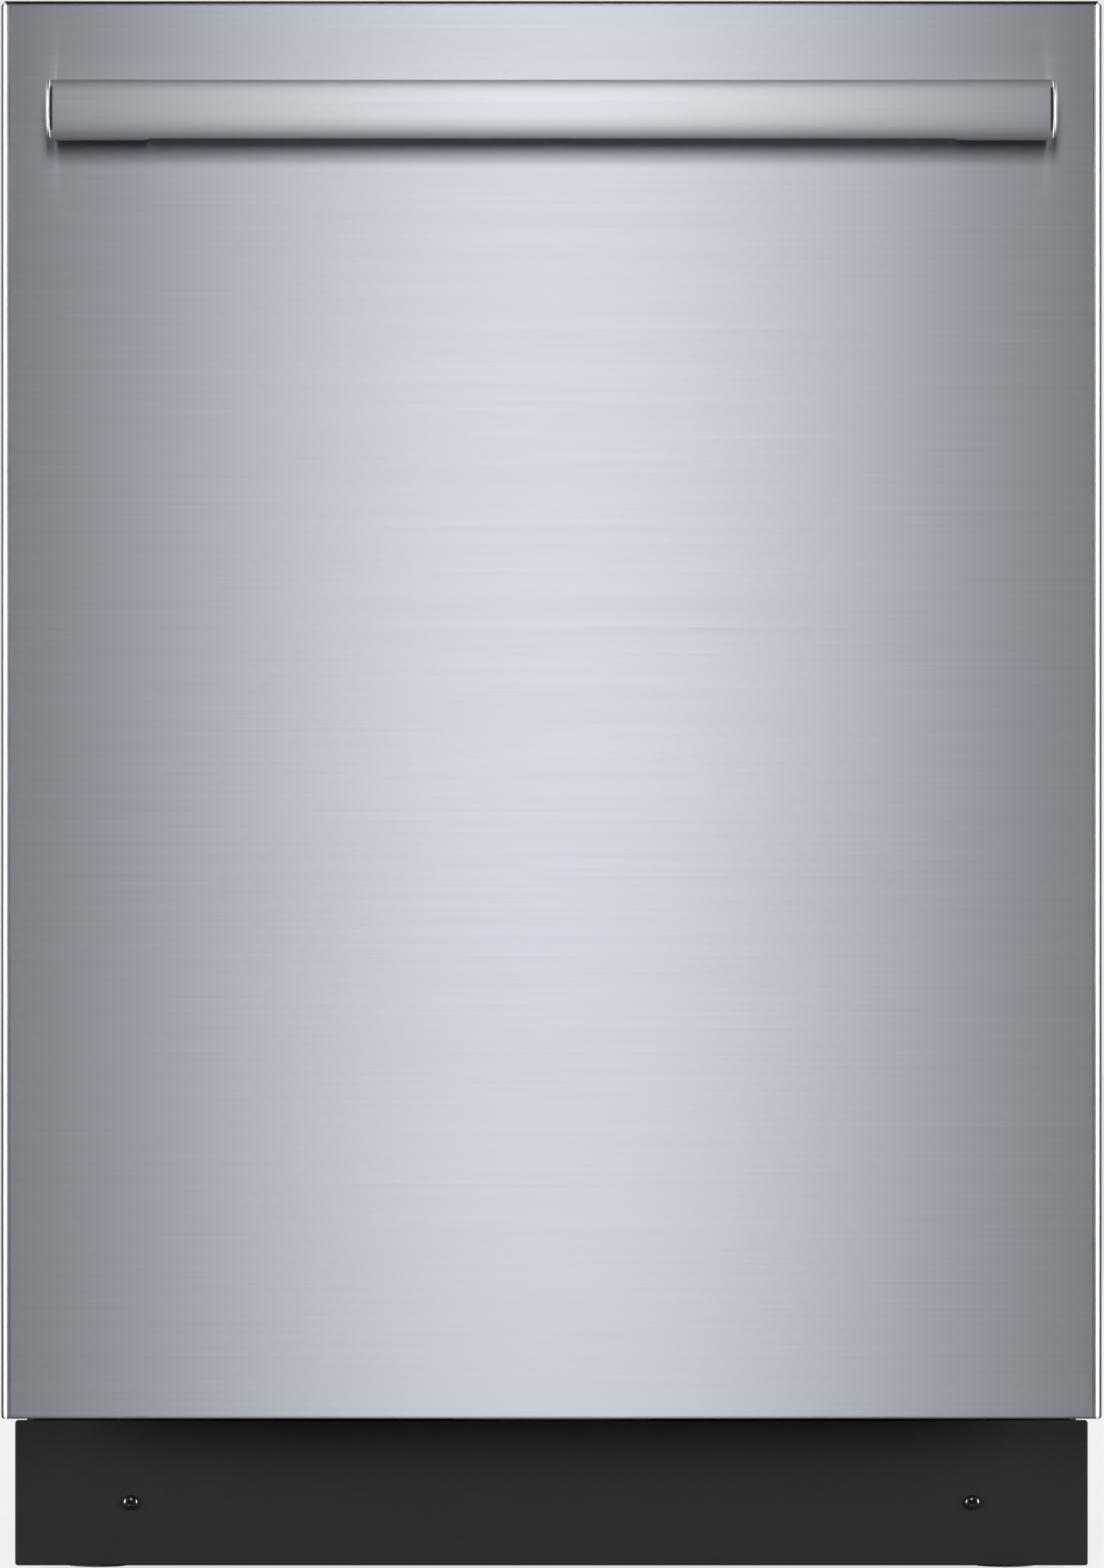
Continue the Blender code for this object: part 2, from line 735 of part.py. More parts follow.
def toe_panel():
    """The black panel under the door, folded back at its top and bottom, and its two screws."""
    t = TOE_SHEET
    back = BASE_FRONT - 0.001
    plate = (-TOE_HALF, TOE_HALF, TOE_Y, TOE_Y + t, TOE_BOTTOM, TOE_TOP)
    top_fold = (-TOE_HALF, TOE_HALF, TOE_Y, back, TOE_TOP - t, TOE_TOP)
    low_fold = (-TOE_HALF, TOE_HALF, TOE_Y, back, TOE_BOTTOM, TOE_BOTTOM + t)
    panel = boxes("toe_kick", TOE_BLACK, [plate, top_fold, low_fold])
    head = 0.00415
    profile = [
        (0, -0.0024),
        (0.0022, -0.0023),
        (0.0036, -0.0016),
        (head, -GAP),
        (SCREW_SHANK, -GAP),
        (SCREW_SHANK, 0.014),
        (0, 0.014),
    ]
    for word, side in SIDES:
        at = (side * SCREW_X, TOE_Y, SCREW_Z)
        drill(panel, at, "Y", SCREW_SHANK + GAP, 0.008, 16)
        turned(f"toe_kick_screw_{word}", BLACK, profile, at, "Y", 16)


def pump_set():
    """The circulation pump, the drain pump, the inlet valve and the wiring box, on the base's floor."""
    motor = [(0, 0), (0.044, 0), (0.044, 0.070), (0.030, 0.078), (0.030, 0.128), (0, 0.128)]
    wash = turned("circulation_pump", BLACK, motor, (-0.215, 0.100, 0.078), "X", 24)
    foot = (-0.200, -0.110, 0.070, 0.130, BASE_BOTTOM + BASE_WALL + GAP, 0.050)
    boolean(wash, boxes("wash_pump_foot", BLACK, [foot]), "UNION")
    small = [(0, 0), (0.026, 0), (0.026, 0.040), (0.018, 0.046), (0.018, 0.082), (0, 0.082)]
    drain = turned("drain_pump", BLACK, small, (0.095, 0.060, 0.058), "X", 20)
    foot = (0.100, 0.150, 0.050, 0.070, BASE_BOTTOM + BASE_WALL + GAP, 0.050)
    boolean(drain, boxes("drain_pump_foot", BLACK, [foot]), "UNION")
    floor = BASE_BOTTOM + BASE_WALL + GAP
    valve = [
        (-0.205, -0.165, -0.150, -0.090, floor, 0.060),
        (-0.197, -0.173, -0.186, -0.150, 0.034, 0.058),
    ]
    boxes("inlet_valve", GREY, valve)
    box = (0.120, 0.205, -0.190, -0.120, floor, 0.070)
    hollow = (0.122, 0.203, -0.190, -0.122, floor + 0.002, 0.068)
    cover = (0.122, 0.203, -0.190, -0.188, floor + 0.002, 0.040)
    boxes("junction_box", ZINC, [box], around(hollow, [cover]))


SPRING_X = 0.2745
SPRING_Z = 0.062
SPRING_Y = (-0.170, 0.000)


def door_springs():
    """The door's balance springs in the base's side channels, as coils of square wire."""
    radius, wire, turns, steps = 0.0075, 0.0018, 9, 8
    count = turns * steps
    for word, side in SIDES:
        bm = bmesh.new()
        rings = []
        for i in range(count + 1):
            t = 2 * math.pi * i / steps
            y = SPRING_Y[0] + (SPRING_Y[1] - SPRING_Y[0]) * i / count
            ring = []
            for dr, dy in ((-wire, -wire), (wire, -wire), (wire, wire), (-wire, wire)):
                r = radius + dr / 2
                x = side * SPRING_X + r * math.cos(t)
                ring.append(bm.verts.new((x, y + dy / 2, SPRING_Z + r * math.sin(t))))
            rings.append(ring)
        bm.faces.new(rings[0])
        bm.faces.new(rings[-1])
        for low, high in zip(rings, rings[1:]):
            for i in range(4):
                j = (i + 1) % 4
                bm.faces.new((low[i], low[j], high[j], high[i]))
        finish(f"door_spring_{word}", bm, ZINC)


# ---------------------------------------------------------------- spray arms and racks


def spray_arm(name, centre, reach, blade, bottom, thick, hub_top, hub_bottom):
    """A flat two-bladed arm with round ends, and a hub on its axis."""
    cx, cy = centre
    half = blade / 2
    outline = [
        *arc((cx + reach - half, cy), half, -90, 90, 6),
        *arc((cx - reach + half, cy), half, 90, 270, 6),
    ]
    arm = extruded(name, GREY, outline, 2, bottom, bottom + thick, (cx, cy, bottom), smooth=True)
    hub = [(0, hub_bottom), (0.020, hub_bottom), (0.020, hub_top), (0, hub_top)]
    boolean(arm, turned(f"{name}_hub", GREY, hub, (cx, cy, 0), "Z", 20), "UNION")


def spray_arms():
    spray_arm("lower_spray_arm", (0, SPRAY_Y), 0.226, 0.040, 0.1580, 0.0100, 0.1700, 0.1500)
    spray_arm("upper_spray_arm", (0, SPRAY_Y), 0.210, 0.036, 0.4560, 0.0090, 0.4680, 0.4530)
    spray_arm("top_spray_arm", (0, SPRAY_Y), 0.120, 0.034, 0.7960, 0.0080, 0.8117, 0.7940)


WEB = 0.0012  # thin web that closes the mesh between two wires


def basket(size, columns, rows, mid_rims=1):
    """Boxes of a mesh basket: wires as ribs on a thin web, on its floor and its four walls, with a top rim."""
    x0, x1, y0, y1, z0, z1 = size
    w = WIRE
    inset = (w - WEB) / 2
    made = [(x0 + inset, x1 - inset, y0 + inset, y1 - inset, z0 + inset, z0 + inset + WEB)]
    for y in (y0 + inset, y1 - w + inset):
        made.append((x0 + inset, x1 - inset, y, y + WEB, z0 + inset, z1 - w / 2))
    for x in (x0 + inset, x1 - w + inset):
        made.append((x, x + WEB, y0 + inset, y1 - inset, z0 + inset, z1 - w / 2))
    xs = spaced(x0, x1 - w, columns)
    ys = spaced(y0, y1 - w, rows)
    for x in xs:
        made.append((x, x + w, y0, y1, z0, z0 + w))
        for y in (y0, y1 - w):
            made.append((x, x + w, y, y + w, z0, z1))
    for y in ys:
        made.append((x0, x1, y, y + w, z0, z0 + w))
        for x in (x0, x1 - w):
            made.append((x, x + w, y, y + w, z0, z1))
    for z in spaced(z0, z1 - w, mid_rims + 2)[1:]:
        for y in (y0, y1 - w):
            made.append((x0, x1, y, y + w, z, z + w))
        for x in (x0, x1 - w):
            made.append((x, x + w, y0, y1, z, z + w))
    return made


WHEEL_X = (0.2575, 0.2665)
WHEEL_YS = (("front", -0.120), ("rear", 0.190))
WHEEL_Z = TUB_FLOOR + GAP + WHEEL_RADIUS


def lower_rack():
    """The lower basket, with four side brackets whose stub axles carry the wheels."""
    x1 = LOWER_RACK[1]
    made = basket(LOWER_RACK, 9, 8)
    axle = 0.003
    for _, side in SIDES:
        for _, y in WHEEL_YS:
            made.append(
                side_box(side, x1 - WIRE, x1, y - 0.008, y + 0.008, WHEEL_Z - 0.006, LOWER_RACK[4] + WIRE)
            )
            made.append(
                side_box(
                    side, x1 - WIRE, WHEEL_X[1] + 0.002, y - axle, y + axle, WHEEL_Z - axle, WHEEL_Z + axle
                )
            )
    boxes("lower_rack", NYLON, made)
    hole = axle * math.sqrt(2) + GAP
    wide = WHEEL_X[1] - WHEEL_X[0]
    profile = [(hole, 0), (WHEEL_RADIUS, 0), (WHEEL_RADIUS, wide), (hole, wide)]
    for row, y in WHEEL_YS:
        for word, side in SIDES:
            x = WHEEL_X[0] if side > 0 else -WHEEL_X[1]
            turned(f"rack_wheel_{row}_{word}", GREY, profile, (x, y, WHEEL_Z), "X", 24)


TINES_Y = -0.060
TINES_Z = LOWER_RACK[4] + WIRE + 0.004
TINES_X = (-0.215, 0.095)


def tine_row():
    """A fold-down row of tines on a shaft that lies on the lower rack's floor."""
    w = 0.0035
    x0, x1 = TINES_X
    y, z = TINES_Y, TINES_Z
    made = [(x0, x1, y - w / 2, y + w / 2, z - w / 2, z + w / 2)]
    for x in spaced(x0 + 0.010, x1 - 0.010, 7):
        made.append((x - w / 2, x + w / 2, y - w / 2, y + w / 2, z - w / 2, z + 0.078))
    boxes("fold_down_tines", NYLON, made, origin=(0, y, z))


CUTLERY_PLAN = (0.125, 0.235, -0.190, 0.110)
CUTLERY_HEIGHT = 0.120
CUTLERY_WALL = 0.003


def silverware_basket():
    """The cutlery basket on the right of the lower rack: an open box in three compartments."""
    x0, x1, y0, y1 = CUTLERY_PLAN
    z0 = LOWER_RACK[4] + WIRE + 0.001
    z1 = z0 + CUTLERY_HEIGHT
    wall = CUTLERY_WALL
    block = (x0, x1, y0, y1, z0, z1)
    cells = []
    edges = spaced(y0, y1 - wall, 4)
    for low, high in zip(edges, edges[1:]):
        cells.append((x0 + wall, x1 - wall, low + wall, high, z0 + wall, z1))
    boxes("silverware_basket", GREY, [block], cells)


RAIL_X = (0.2600, 0.2715)
RAIL_Y = (-0.205, 0.245)
RAIL_Z = (0.528, 0.552)
RAIL_LIP = 0.004  # height of the channel's upper and lower lips
RAIL_PLAY = 0.001  # between the slide and those lips


def rails():
    """Channels on the tub's walls and the sliding members that run in them."""
    for word, side in SIDES:
        web = RAIL_X[1] - 0.0025
        low, high = RAIL_Z[0] + RAIL_LIP, RAIL_Z[1] - RAIL_LIP
        channel = side_box(side, *RAIL_X, *RAIL_Y, *RAIL_Z)
        groove = side_box(side, RAIL_X[0], web, *RAIL_Y, low, high)
        boxes(f"upper_rail_{word}", TUB_STEEL, [channel], [groove])
        slide = side_box(
            side, RAIL_X[0] + GAP, web - 0.0005, *RAIL_Y, low + RAIL_PLAY, high - RAIL_PLAY
        )
        boxes(f"upper_rail_slide_{word}", ZINC, [slide])


FEED_PIPE = 0.020  # width of the pipe under the upper rack


def upper_rack():
    """The upper basket, with runners at its sides and the feed of its spray arm beneath it."""
    _, x1, y0, y1, z0, _ = UPPER_RACK
    made = basket(UPPER_RACK, 9, 8)
    inset = RAIL_LIP + 2 * RAIL_PLAY
    low, high = RAIL_Z[0] + inset, RAIL_Z[1] - inset
    for _, side in SIDES:
        made.append(side_box(side, x1 - WIRE, RAIL_X[0] - 0.0002, y0, y1, low, high))
    half, reach = FEED_PIPE / 2, FEED_PIPE
    made.append((-half, half, SPRAY_Y - reach, y1 + reach, z0 - half + GAP, z0))
    made.append((-half, half, SPRAY_Y - reach, SPRAY_Y + reach, z0, z0 + WIRE))
    boxes("upper_rack", NYLON, made)


def cutlery_tray():
    """The shallow third rack, with runners that ride on the tub's ledges."""
    x1 = TRAY[1]
    made = basket(TRAY, 10, 9, mid_rims=0)
    for _, side in SIDES:
        low = TRAY_RAIL_Z + 0.0005
        made.append(side_box(side, x1 - WIRE, TUB_HALF - 0.010, TRAY[2], TRAY[3], low, low + 0.005))
    boxes("cutlery_tray", NYLON, made)


def main():
    for obj in list(bpy.data.objects):
        bpy.data.objects.remove(obj)
    door_skin()
    handle()
    door_liner()
    control_strip()
    buttons()
    dispenser()
    rinse_cap()
    latch()
    door_seal()
    hinges()
    tub()
    gasket()
    insulation()
    brackets()
    feed_tube()
    sump()
    filter_cylinder()
    base_pan()
    feet()
    toe_panel()
    pump_set()
    door_springs()
    spray_arms()
    lower_rack()
    tine_row()
    silverware_basket()
    rails()
    upper_rack()
    cutlery_tray()


main()
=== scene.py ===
"""The looks of a built-in dishwasher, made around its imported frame. Metres, +Z up, door towards -Y."""

import math
from itertools import product

import bmesh
import bpy
from mathutils import Matrix, Vector, noise

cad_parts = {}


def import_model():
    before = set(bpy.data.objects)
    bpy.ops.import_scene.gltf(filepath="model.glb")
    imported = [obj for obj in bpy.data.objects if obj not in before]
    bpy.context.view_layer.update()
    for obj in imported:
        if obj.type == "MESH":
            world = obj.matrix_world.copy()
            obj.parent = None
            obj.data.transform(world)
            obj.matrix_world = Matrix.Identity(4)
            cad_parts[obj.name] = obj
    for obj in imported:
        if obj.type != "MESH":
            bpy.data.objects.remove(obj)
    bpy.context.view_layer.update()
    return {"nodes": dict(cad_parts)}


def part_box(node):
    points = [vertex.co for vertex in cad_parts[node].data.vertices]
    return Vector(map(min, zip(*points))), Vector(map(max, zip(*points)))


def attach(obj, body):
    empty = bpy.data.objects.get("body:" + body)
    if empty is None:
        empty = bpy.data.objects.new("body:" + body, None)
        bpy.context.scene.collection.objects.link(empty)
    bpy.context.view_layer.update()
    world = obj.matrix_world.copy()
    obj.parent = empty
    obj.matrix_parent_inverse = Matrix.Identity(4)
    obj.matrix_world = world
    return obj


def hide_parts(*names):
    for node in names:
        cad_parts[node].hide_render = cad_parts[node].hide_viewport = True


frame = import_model()

SIDES = (("left", -1), ("right", 1))
SHEET = 0.001  # sheet metal of the door and the toe panel
EDGE = 0.0043  # rounded upright edges of the door
FOLD = 0.0011  # rounded top and bottom edges of the door
SEAM = 0.0009  # groove beside each rolled edge of the door, painted dark as shade
OUTLINE = 0.0006  # outermost part of the roll, painted near black as shade
ROLL_END = 0.0010  # the bright rolls stop this far from the skin's top and bottom edges
SPRAY_Y = 0.030  # axis of the spray arms
TUB_CORNER = 0.022
TRAY_RAIL_Z = 0.7370  # top of the ledges that the cutlery tray runs on
PAD = 0.0082  # thickness of a felt pad


# ---- mesh tools


def add(obj, body, finish, slot, *nodes):
    """Puts a finished piece on its body, with its paint, and hides the CAD nodes it stands for. The slot is
    not used.
    """
    obj.data.materials.clear()
    obj.data.materials.append(paint[finish])
    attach(obj, body)
    if nodes:
        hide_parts(*nodes)


def link(obj):
    bpy.context.scene.collection.objects.link(obj)
    return obj


def smooth(mesh, angle):
    """Smooth shading, but for the edges where faces meet at more than angle degrees."""
    mesh.shade_smooth()
    mesh.set_sharp_from_angle(angle=math.radians(angle))


def from_bmesh(name, bm, angle):
    bmesh.ops.recalc_face_normals(bm, faces=bm.faces)
    mesh = bpy.data.meshes.new(name)
    bm.to_mesh(mesh)
    bm.free()
    smooth(mesh, angle)
    return link(bpy.data.objects.new(name, mesh))


def loft(name, rings, angle):
    """Skins rings of equal length in their order, and caps both ends."""
    bm = bmesh.new()
    loops = [[bm.verts.new(point) for point in ring] for ring in rings]
    bm.faces.new(loops[0])
    bm.faces.new(loops[-1])
    for low, high in zip(loops, loops[1:]):
        for i in range(len(low)):
            j = (i + 1) % len(low)
            bm.faces.new((low[i], low[j], high[j], high[i]))
    return from_bmesh(name, bm, angle)


def lathe(name, profile, centre, axis, steps=48):
    """A turned piece: profile is a closed outline of (radius, distance along axis)."""
    bm = bmesh.new()
    turns = [2 * math.pi * i / steps for i in range(steps)]
    rings = []
    for radius, along in profile:
        if radius < 1e-7:
            rings.append([bm.verts.new((0, 0, along))] * steps)
        else:
            ring = [(radius * math.cos(t), radius * math.sin(t), along) for t in turns]
            rings.append([bm.verts.new(point) for point in ring])
    for ring, after in zip(rings, rings[1:] + rings[:1]):
        for i in range(steps):
            j = (i + 1) % steps
            corners = list(dict.fromkeys((ring[i], ring[j], after[j], after[i])))
            if len(corners) > 2:
                bm.faces.new(corners)
    lay = {
        "X": Matrix.Rotation(math.pi / 2, 4, "Y"),
        "Y": Matrix.Rotation(-math.pi / 2, 4, "X"),
        "Z": Matrix.Identity(4),
    }[axis]
    bm.transform(Matrix.Translation(centre) @ lay)
    return from_bmesh(name, bm, 35)


def block(name, low, high, round_by, segments=3):
    """A box with rounded edges."""
    bm = bmesh.new()
    bmesh.ops.create_cube(bm, size=1)
    low, high = Vector(low), Vector(high)
    size = high - low
    bm.transform(Matrix.Translation((low + high) / 2) @ Matrix.Diagonal((*size, 1)))
    offset = min(round_by, min(size) * 0.49)
    bmesh.ops.bevel(bm, geom=bm.edges[:], offset=offset, segments=segments, profile=0.5, affect="EDGES")
    return from_bmesh(name, bm, 50)


def evaluated(obj):
    """A mesh of what the object's curve or modifiers make."""
    graph = bpy.context.evaluated_depsgraph_get()
    return bpy.data.meshes.new_from_object(obj.evaluated_get(graph), depsgraph=graph)


def apply_all(obj):
    """Replaces the object's mesh by what its modifiers make of it."""
    made = evaluated(obj)
    obj.modifiers.clear()
    obj.data = made


def boolean(obj, other, operation="DIFFERENCE", angle=35):
    """Cuts other out of obj, or joins it on, and removes other."""
    modifier = obj.modifiers.new(operation, "BOOLEAN")
    modifier.operation = operation
    modifier.object = other
    modifier.solver = "EXACT"
    apply_all(obj)
    bpy.data.objects.remove(other)
    smooth(obj.data, angle)


def drill(obj, radius, centre, steps, angle=35):
    """Cuts a round upright hole."""
    reach = 0.02
    profile = [(0, -reach), (radius, -reach), (radius, reach), (0, reach)]
    boolean(obj, lathe("drill", profile, centre, "Z", steps), angle=angle)


def quarter(steps):
    """Angles of a quarter turn, from 0."""
    return [math.pi / 2 * i / steps for i in range(steps + 1)]


def arc(centre, radius, start, end, steps):
    """Points on an arc, with its angles in degrees."""
    turns = [math.radians(start + (end - start) * i / steps) for i in range(steps + 1)]
    return [(centre[0] + radius * math.cos(t), centre[1] + radius * math.sin(t)) for t in turns]


def rounded(x0, x1, z0, z1, radius, steps=6):
    """Outline of a rectangle with round corners."""
    left, right, bottom, top = x0 + radius, x1 - radius, z0 + radius, z1 - radius
    points = []
    for k, centre in enumerate(((right, top), (left, top), (left, bottom), (right, bottom))):
        points += arc(centre, radius, 90 * k, 90 * (k + 1), steps)
    return points


def at_x(outline, x):
    return [(x, a, b) for a, b in outline]


def at_y(outline, y):
    return [(a, y, b) for a, b in outline]


def spaced(low, high, count):
    return [low + (high - low) * i / (count - 1) for i in range(count)]


def fillet(points, radius, closed=False, steps=5):
    """The same route with each corner rounded."""
    points = [Vector(p) for p in points]
    count = len(points)
    route = []
    for i, here in enumerate(points):
        if not closed and i in (0, count - 1):
            route.append(here)
            continue
        before, after = points[i - 1], points[(i + 1) % count]
        back, ahead = (before - here), (after - here)
        reach = min(radius, back.length * 0.45, ahead.length * 0.45)
        a, b = here + back.normalized() * reach, here + ahead.normalized() * reach
        for k in range(steps + 1):
            t = k / steps
            route.append(a * (1 - t) ** 2 + here * 2 * t * (1 - t) + b * t**2)
    return route


def wires(name, routes, radius, sides=3):
    """Round wires as one piece. A route is a list of points, or (points, True) if it closes."""
    curve = bpy.data.curves.new(name, "CURVE")
    curve.dimensions = "3D"
    curve.bevel_depth, curve.bevel_resolution = radius, sides
    curve.use_fill_caps = True
    for route in routes:
        points, closed = route if isinstance(route, tuple) else (route, False)
        spline = curve.splines.new("POLY")
        spline.points.add(len(points) - 1)
        for point, at in zip(spline.points, points):
            point.co = (*at, 1)
        spline.use_cyclic_u = closed
        spline.use_smooth = True
    curved = link(bpy.data.objects.new(name, curve))
    mesh = evaluated(curved)
    bpy.data.objects.remove(curved)
    mesh.name = name
    smooth(mesh, 50)
    return link(bpy.data.objects.new(name, mesh))


def carry(node, finish, round_by, segments=2):
    """Keeps a CAD node, with its edges broken and a better material."""
    obj = frame["nodes"][node]
    obj.data.materials.clear()
    obj.data.materials.append(paint[finish])
    weld = obj.modifiers.new("weld", "WELD")
    weld.merge_threshold = 1e-5
    bevel = obj.modifiers.new("bevel", "BEVEL")
    bevel.width = round_by
    bevel.segments = segments
    bevel.limit_method = "ANGLE"
    bevel.angle_limit = math.radians(35)
    bevel.harden_normals = True


# ---- materials


class Surface:
    """A Principled material in the piece's own coordinates, with noise on colour, roughness and relief."""

    def __init__(self, name, colour, roughness, metallic=0.0, **sockets):
        self.material = bpy.data.materials.new(name)
        self.material.use_nodes = True
        self.tree = self.material.node_tree
        self.shader = self.tree.nodes["Principled BSDF"]
        self.colour, self.roughness = colour, roughness
        sockets.update(Base_Color=(*colour, 1), Roughness=roughness, Metallic=metallic)
        for socket, value in sockets.items():
            self.feed(self.shader, socket.replace("_", " "), value)
        self.place = self.node("ShaderNodeTexCoord").outputs["Object"]
        self.relief = None

    def feed(self, node, socket, value):
        """Gives a socket a number, a vector, a colour or another node's output."""
        if isinstance(value, bpy.types.NodeSocket):
            self.tree.links.new(value, node.inputs[socket])
        else:
            node.inputs[socket].default_value = value

    def node(self, kind, inputs=None, **settings):
        made = self.tree.nodes.new(kind)
        for key, value in settings.items():
            setattr(made, key, value)
        for socket, value in (inputs or {}).items():
            self.feed(made, socket, value)
        return made

    def noise(self, stretch, detail=3.0, rough=0.6):
        """Noise in the piece's coordinates times stretch, so a low number draws it out along that axis."""
        scale = stretch if isinstance(stretch, tuple) else (stretch,) * 3
        place = self.node("ShaderNodeMapping", {"Vector": self.place, "Scale": scale}).outputs["Vector"]
        inputs = {"Vector": place, "Scale": 1, "Detail": detail, "Roughness": rough}
        return self.node("ShaderNodeTexNoise", inputs).outputs["Fac"]

    def cells(self, scale, output, scatter=1.0):
        inputs = {"Vector": self.place, "Scale": scale, "Randomness": scatter}
        return self.node("ShaderNodeTexVoronoi", inputs).outputs[output]

    def math(self, operation, first, second):
        return self.node("ShaderNodeMath", {0: first, 1: second}, operation=operation).outputs[0]

    def ranged(self, value, low, high, from_low=0.3, from_high=0.7):
        inputs = {"Value": value, "From Min": from_low, "From Max": from_high, "To Min": low, "To Max": high}
        return self.node("ShaderNodeMapRange", inputs).outputs["Result"]

    def colour_by(self, value, low, high):
        """Colours the surface from low to high, following value."""
        mix = self.node("ShaderNodeMix", {"A": low, "B": high, "Factor": value}, data_type="RGBA")
        self.feed(self.shader, "Base Color", mix.outputs["Result"])
        return mix.outputs["Result"]

    def mottle(self, value, swing):
        """Lightens and darkens the colour by swing, following value."""
        dark = [c * (1 - swing) for c in self.colour]
        light = [min(1, c * (1 + swing)) for c in self.colour]
        return self.colour_by(self.ranged(value, 0, 1), (*dark, 1), (*light, 1))

    def marks(self, value, colour, base):
        """Paints colour over base where value is 1."""
        base = (*base, 1) if isinstance(base, tuple) else base
        return self.colour_by(value, base, (*colour, 1))

    def rough(self, value, swing):
        level = self.ranged(value, self.roughness - swing, self.roughness + swing)
        self.feed(self.shader, "Roughness", level)

    def bump(self, value, depth, strength):
        """Adds relief to what there is."""
        inputs = {"Strength": strength, "Distance": depth, "Height": value}
        if self.relief is not None:
            inputs["Normal"] = self.relief
        self.relief = self.node("ShaderNodeBump", inputs).outputs["Normal"]
        self.feed(self.shader, "Normal", self.relief)

    def direction(self, vector):
        """A direction that is fixed on the piece, in world terms."""
        fixed = self.node("ShaderNodeCombineXYZ", dict(zip("XYZ", vector))).outputs[0]
        spaces = {"vector_type": "VECTOR", "convert_from": "OBJECT", "convert_to": "WORLD"}
        return self.node("ShaderNodeVectorTransform", {0: fixed}, **spaces).outputs[0]


def brushed(name, colour, roughness, is_round=False):
    """Steel brushed along X: fine streaks, and highlights spread across them, up a face or round a bar."""
    steel = Surface(name, colour, roughness, 1.0, Anisotropic=1.0)

    def streaks(along, across, detail):
        return steel.noise((along, across, across), detail)

    level = steel.math("MULTIPLY", steel.math("ADD", streaks(14, 2600, 4), streaks(3, 420, 2)), 0.5)
    base = steel.mottle(level, 0.06)
    scratches = steel.ranged(streaks(26, 5200, 1), 0, 0.26, 0.68, 0.80)
    steel.marks(scratches, (0.86, 0.88, 0.90), base)
    steel.rough(level, 0.02)
    if is_round:
        normal = steel.node("ShaderNodeNewGeometry").outputs["Normal"]
        inputs = {0: steel.direction((1, 0, 0)), 1: normal}
        tangent = steel.node("ShaderNodeVectorMath", inputs, operation="CROSS_PRODUCT").outputs[0]
    else:
        tangent = steel.direction((0.0, 0.05, 1.0))
    steel.feed(steel.shader, "Tangent", tangent)
    return steel.material


def satin_steel(name, colour, roughness):
    """Smooth sheet steel with faint rolling marks."""
    steel = Surface(name, colour, roughness, 1.0)
    marks = steel.noise((70, 70, 9), 4)
    steel.mottle(marks, 0.02)
    steel.rough(marks, 0.015)
    steel.bump(steel.noise(9, 2), 0.0006, 0.35)
    return steel.material


def zinc():
    """Zinc plate with its blurred spangle."""
    plate = Surface("zinc_plated", (0.56, 0.57, 0.58), 0.38, 1.0)
    plate.mottle(plate.cells(140, "Color"), 0.12)
    plate.rough(plate.noise(300), 0.08)
    plate.bump(plate.noise(500), 0.00004, 0.5)
    return plate.material


def plastic(name, colour, roughness, grain=900, depth=0.00005):
    """Moulded plastic with a fine spark-eroded grain and slight flow marks."""
    made = Surface(name, colour, roughness)
    made.mottle(made.noise(25, 4), 0.06)
    fine = made.noise(grain, 2)
    made.rough(fine, 0.06)
    made.bump(fine, depth, 0.6)
    return made.material


def painted(name, colour, roughness, shine):
    """Stoved paint with a light orange peel."""
    made = Surface(name, colour, roughness, Specular_IOR_Level=shine)
    made.mottle(made.noise(18, 3), 0.05)
    peel = made.noise(420, 1)
    made.rough(peel, 0.04)
    made.bump(peel, 0.00003, 0.5)
    return made.material


def nylon():
    """The thick nylon dip on rack wire, with slight runs along it."""
    coat = Surface("rack_coating", (0.30, 0.32, 0.35), 0.36, Coat_Weight=0.25)
    runs = coat.noise(70, 3)
    coat.mottle(runs, 0.08)
    coat.rough(runs, 0.07)
    coat.bump(coat.noise(260, 2), 0.00008, 0.7)
    return coat.material


def rubber():
    """Soft black rubber, a little dusty."""
    made = Surface("soft_rubber", (0.026, 0.026, 0.028), 0.72)
    fine = made.noise(700, 2)
    made.mottle(made.noise(40), 0.15)
    made.rough(fine, 0.08)
    made.bump(fine, 0.00006, 0.6)
    return made.material


def felt():
    """Pressed grey felt: matted fibres with pale and dark flecks."""
    sheen = {"Sheen_Weight": 0.25, "Sheen_Roughness": 0.5}
    made = Surface("pressed_felt", (0.155, 0.158, 0.165), 0.95, **sheen)
    base = made.mottle(made.noise(26, 5, 0.7), 0.22)
    pale = made.ranged(made.noise(380, 3), 0, 0.75, 0.60, 0.72)
    flecked = made.marks(pale, (0.42, 0.43, 0.44), base)
    dark = made.ranged(made.noise((300, 300, 520), 3), 0, 0.7, 0.61, 0.72)
    made.marks(dark, (0.035, 0.036, 0.04), flecked)
    made.bump(made.noise(60, 4), 0.0010, 0.6)
    made.bump(made.noise((900, 900, 240), 5, 0.7), 0.0005, 0.8)
    return made.material


def filter_mesh():
    """Steel with rows of small round holes, drawn as dark pits: painted shade in place of open holes."""
    pitch, steel = 0.0016, (0.62, 0.63, 0.64)
    made = Surface("filter_mesh", steel, 0.30, 1.0)
    distance = made.cells(1 / pitch, "Distance", 0.0)
    # Painted shade: the holes are near-black paint, not openings.
    made.marks(made.ranged(distance, 1, 0, 0.26, 0.34), (0.02, 0.02, 0.022), steel)
    made.bump(distance, 0.0002, 0.5)
    return made.material


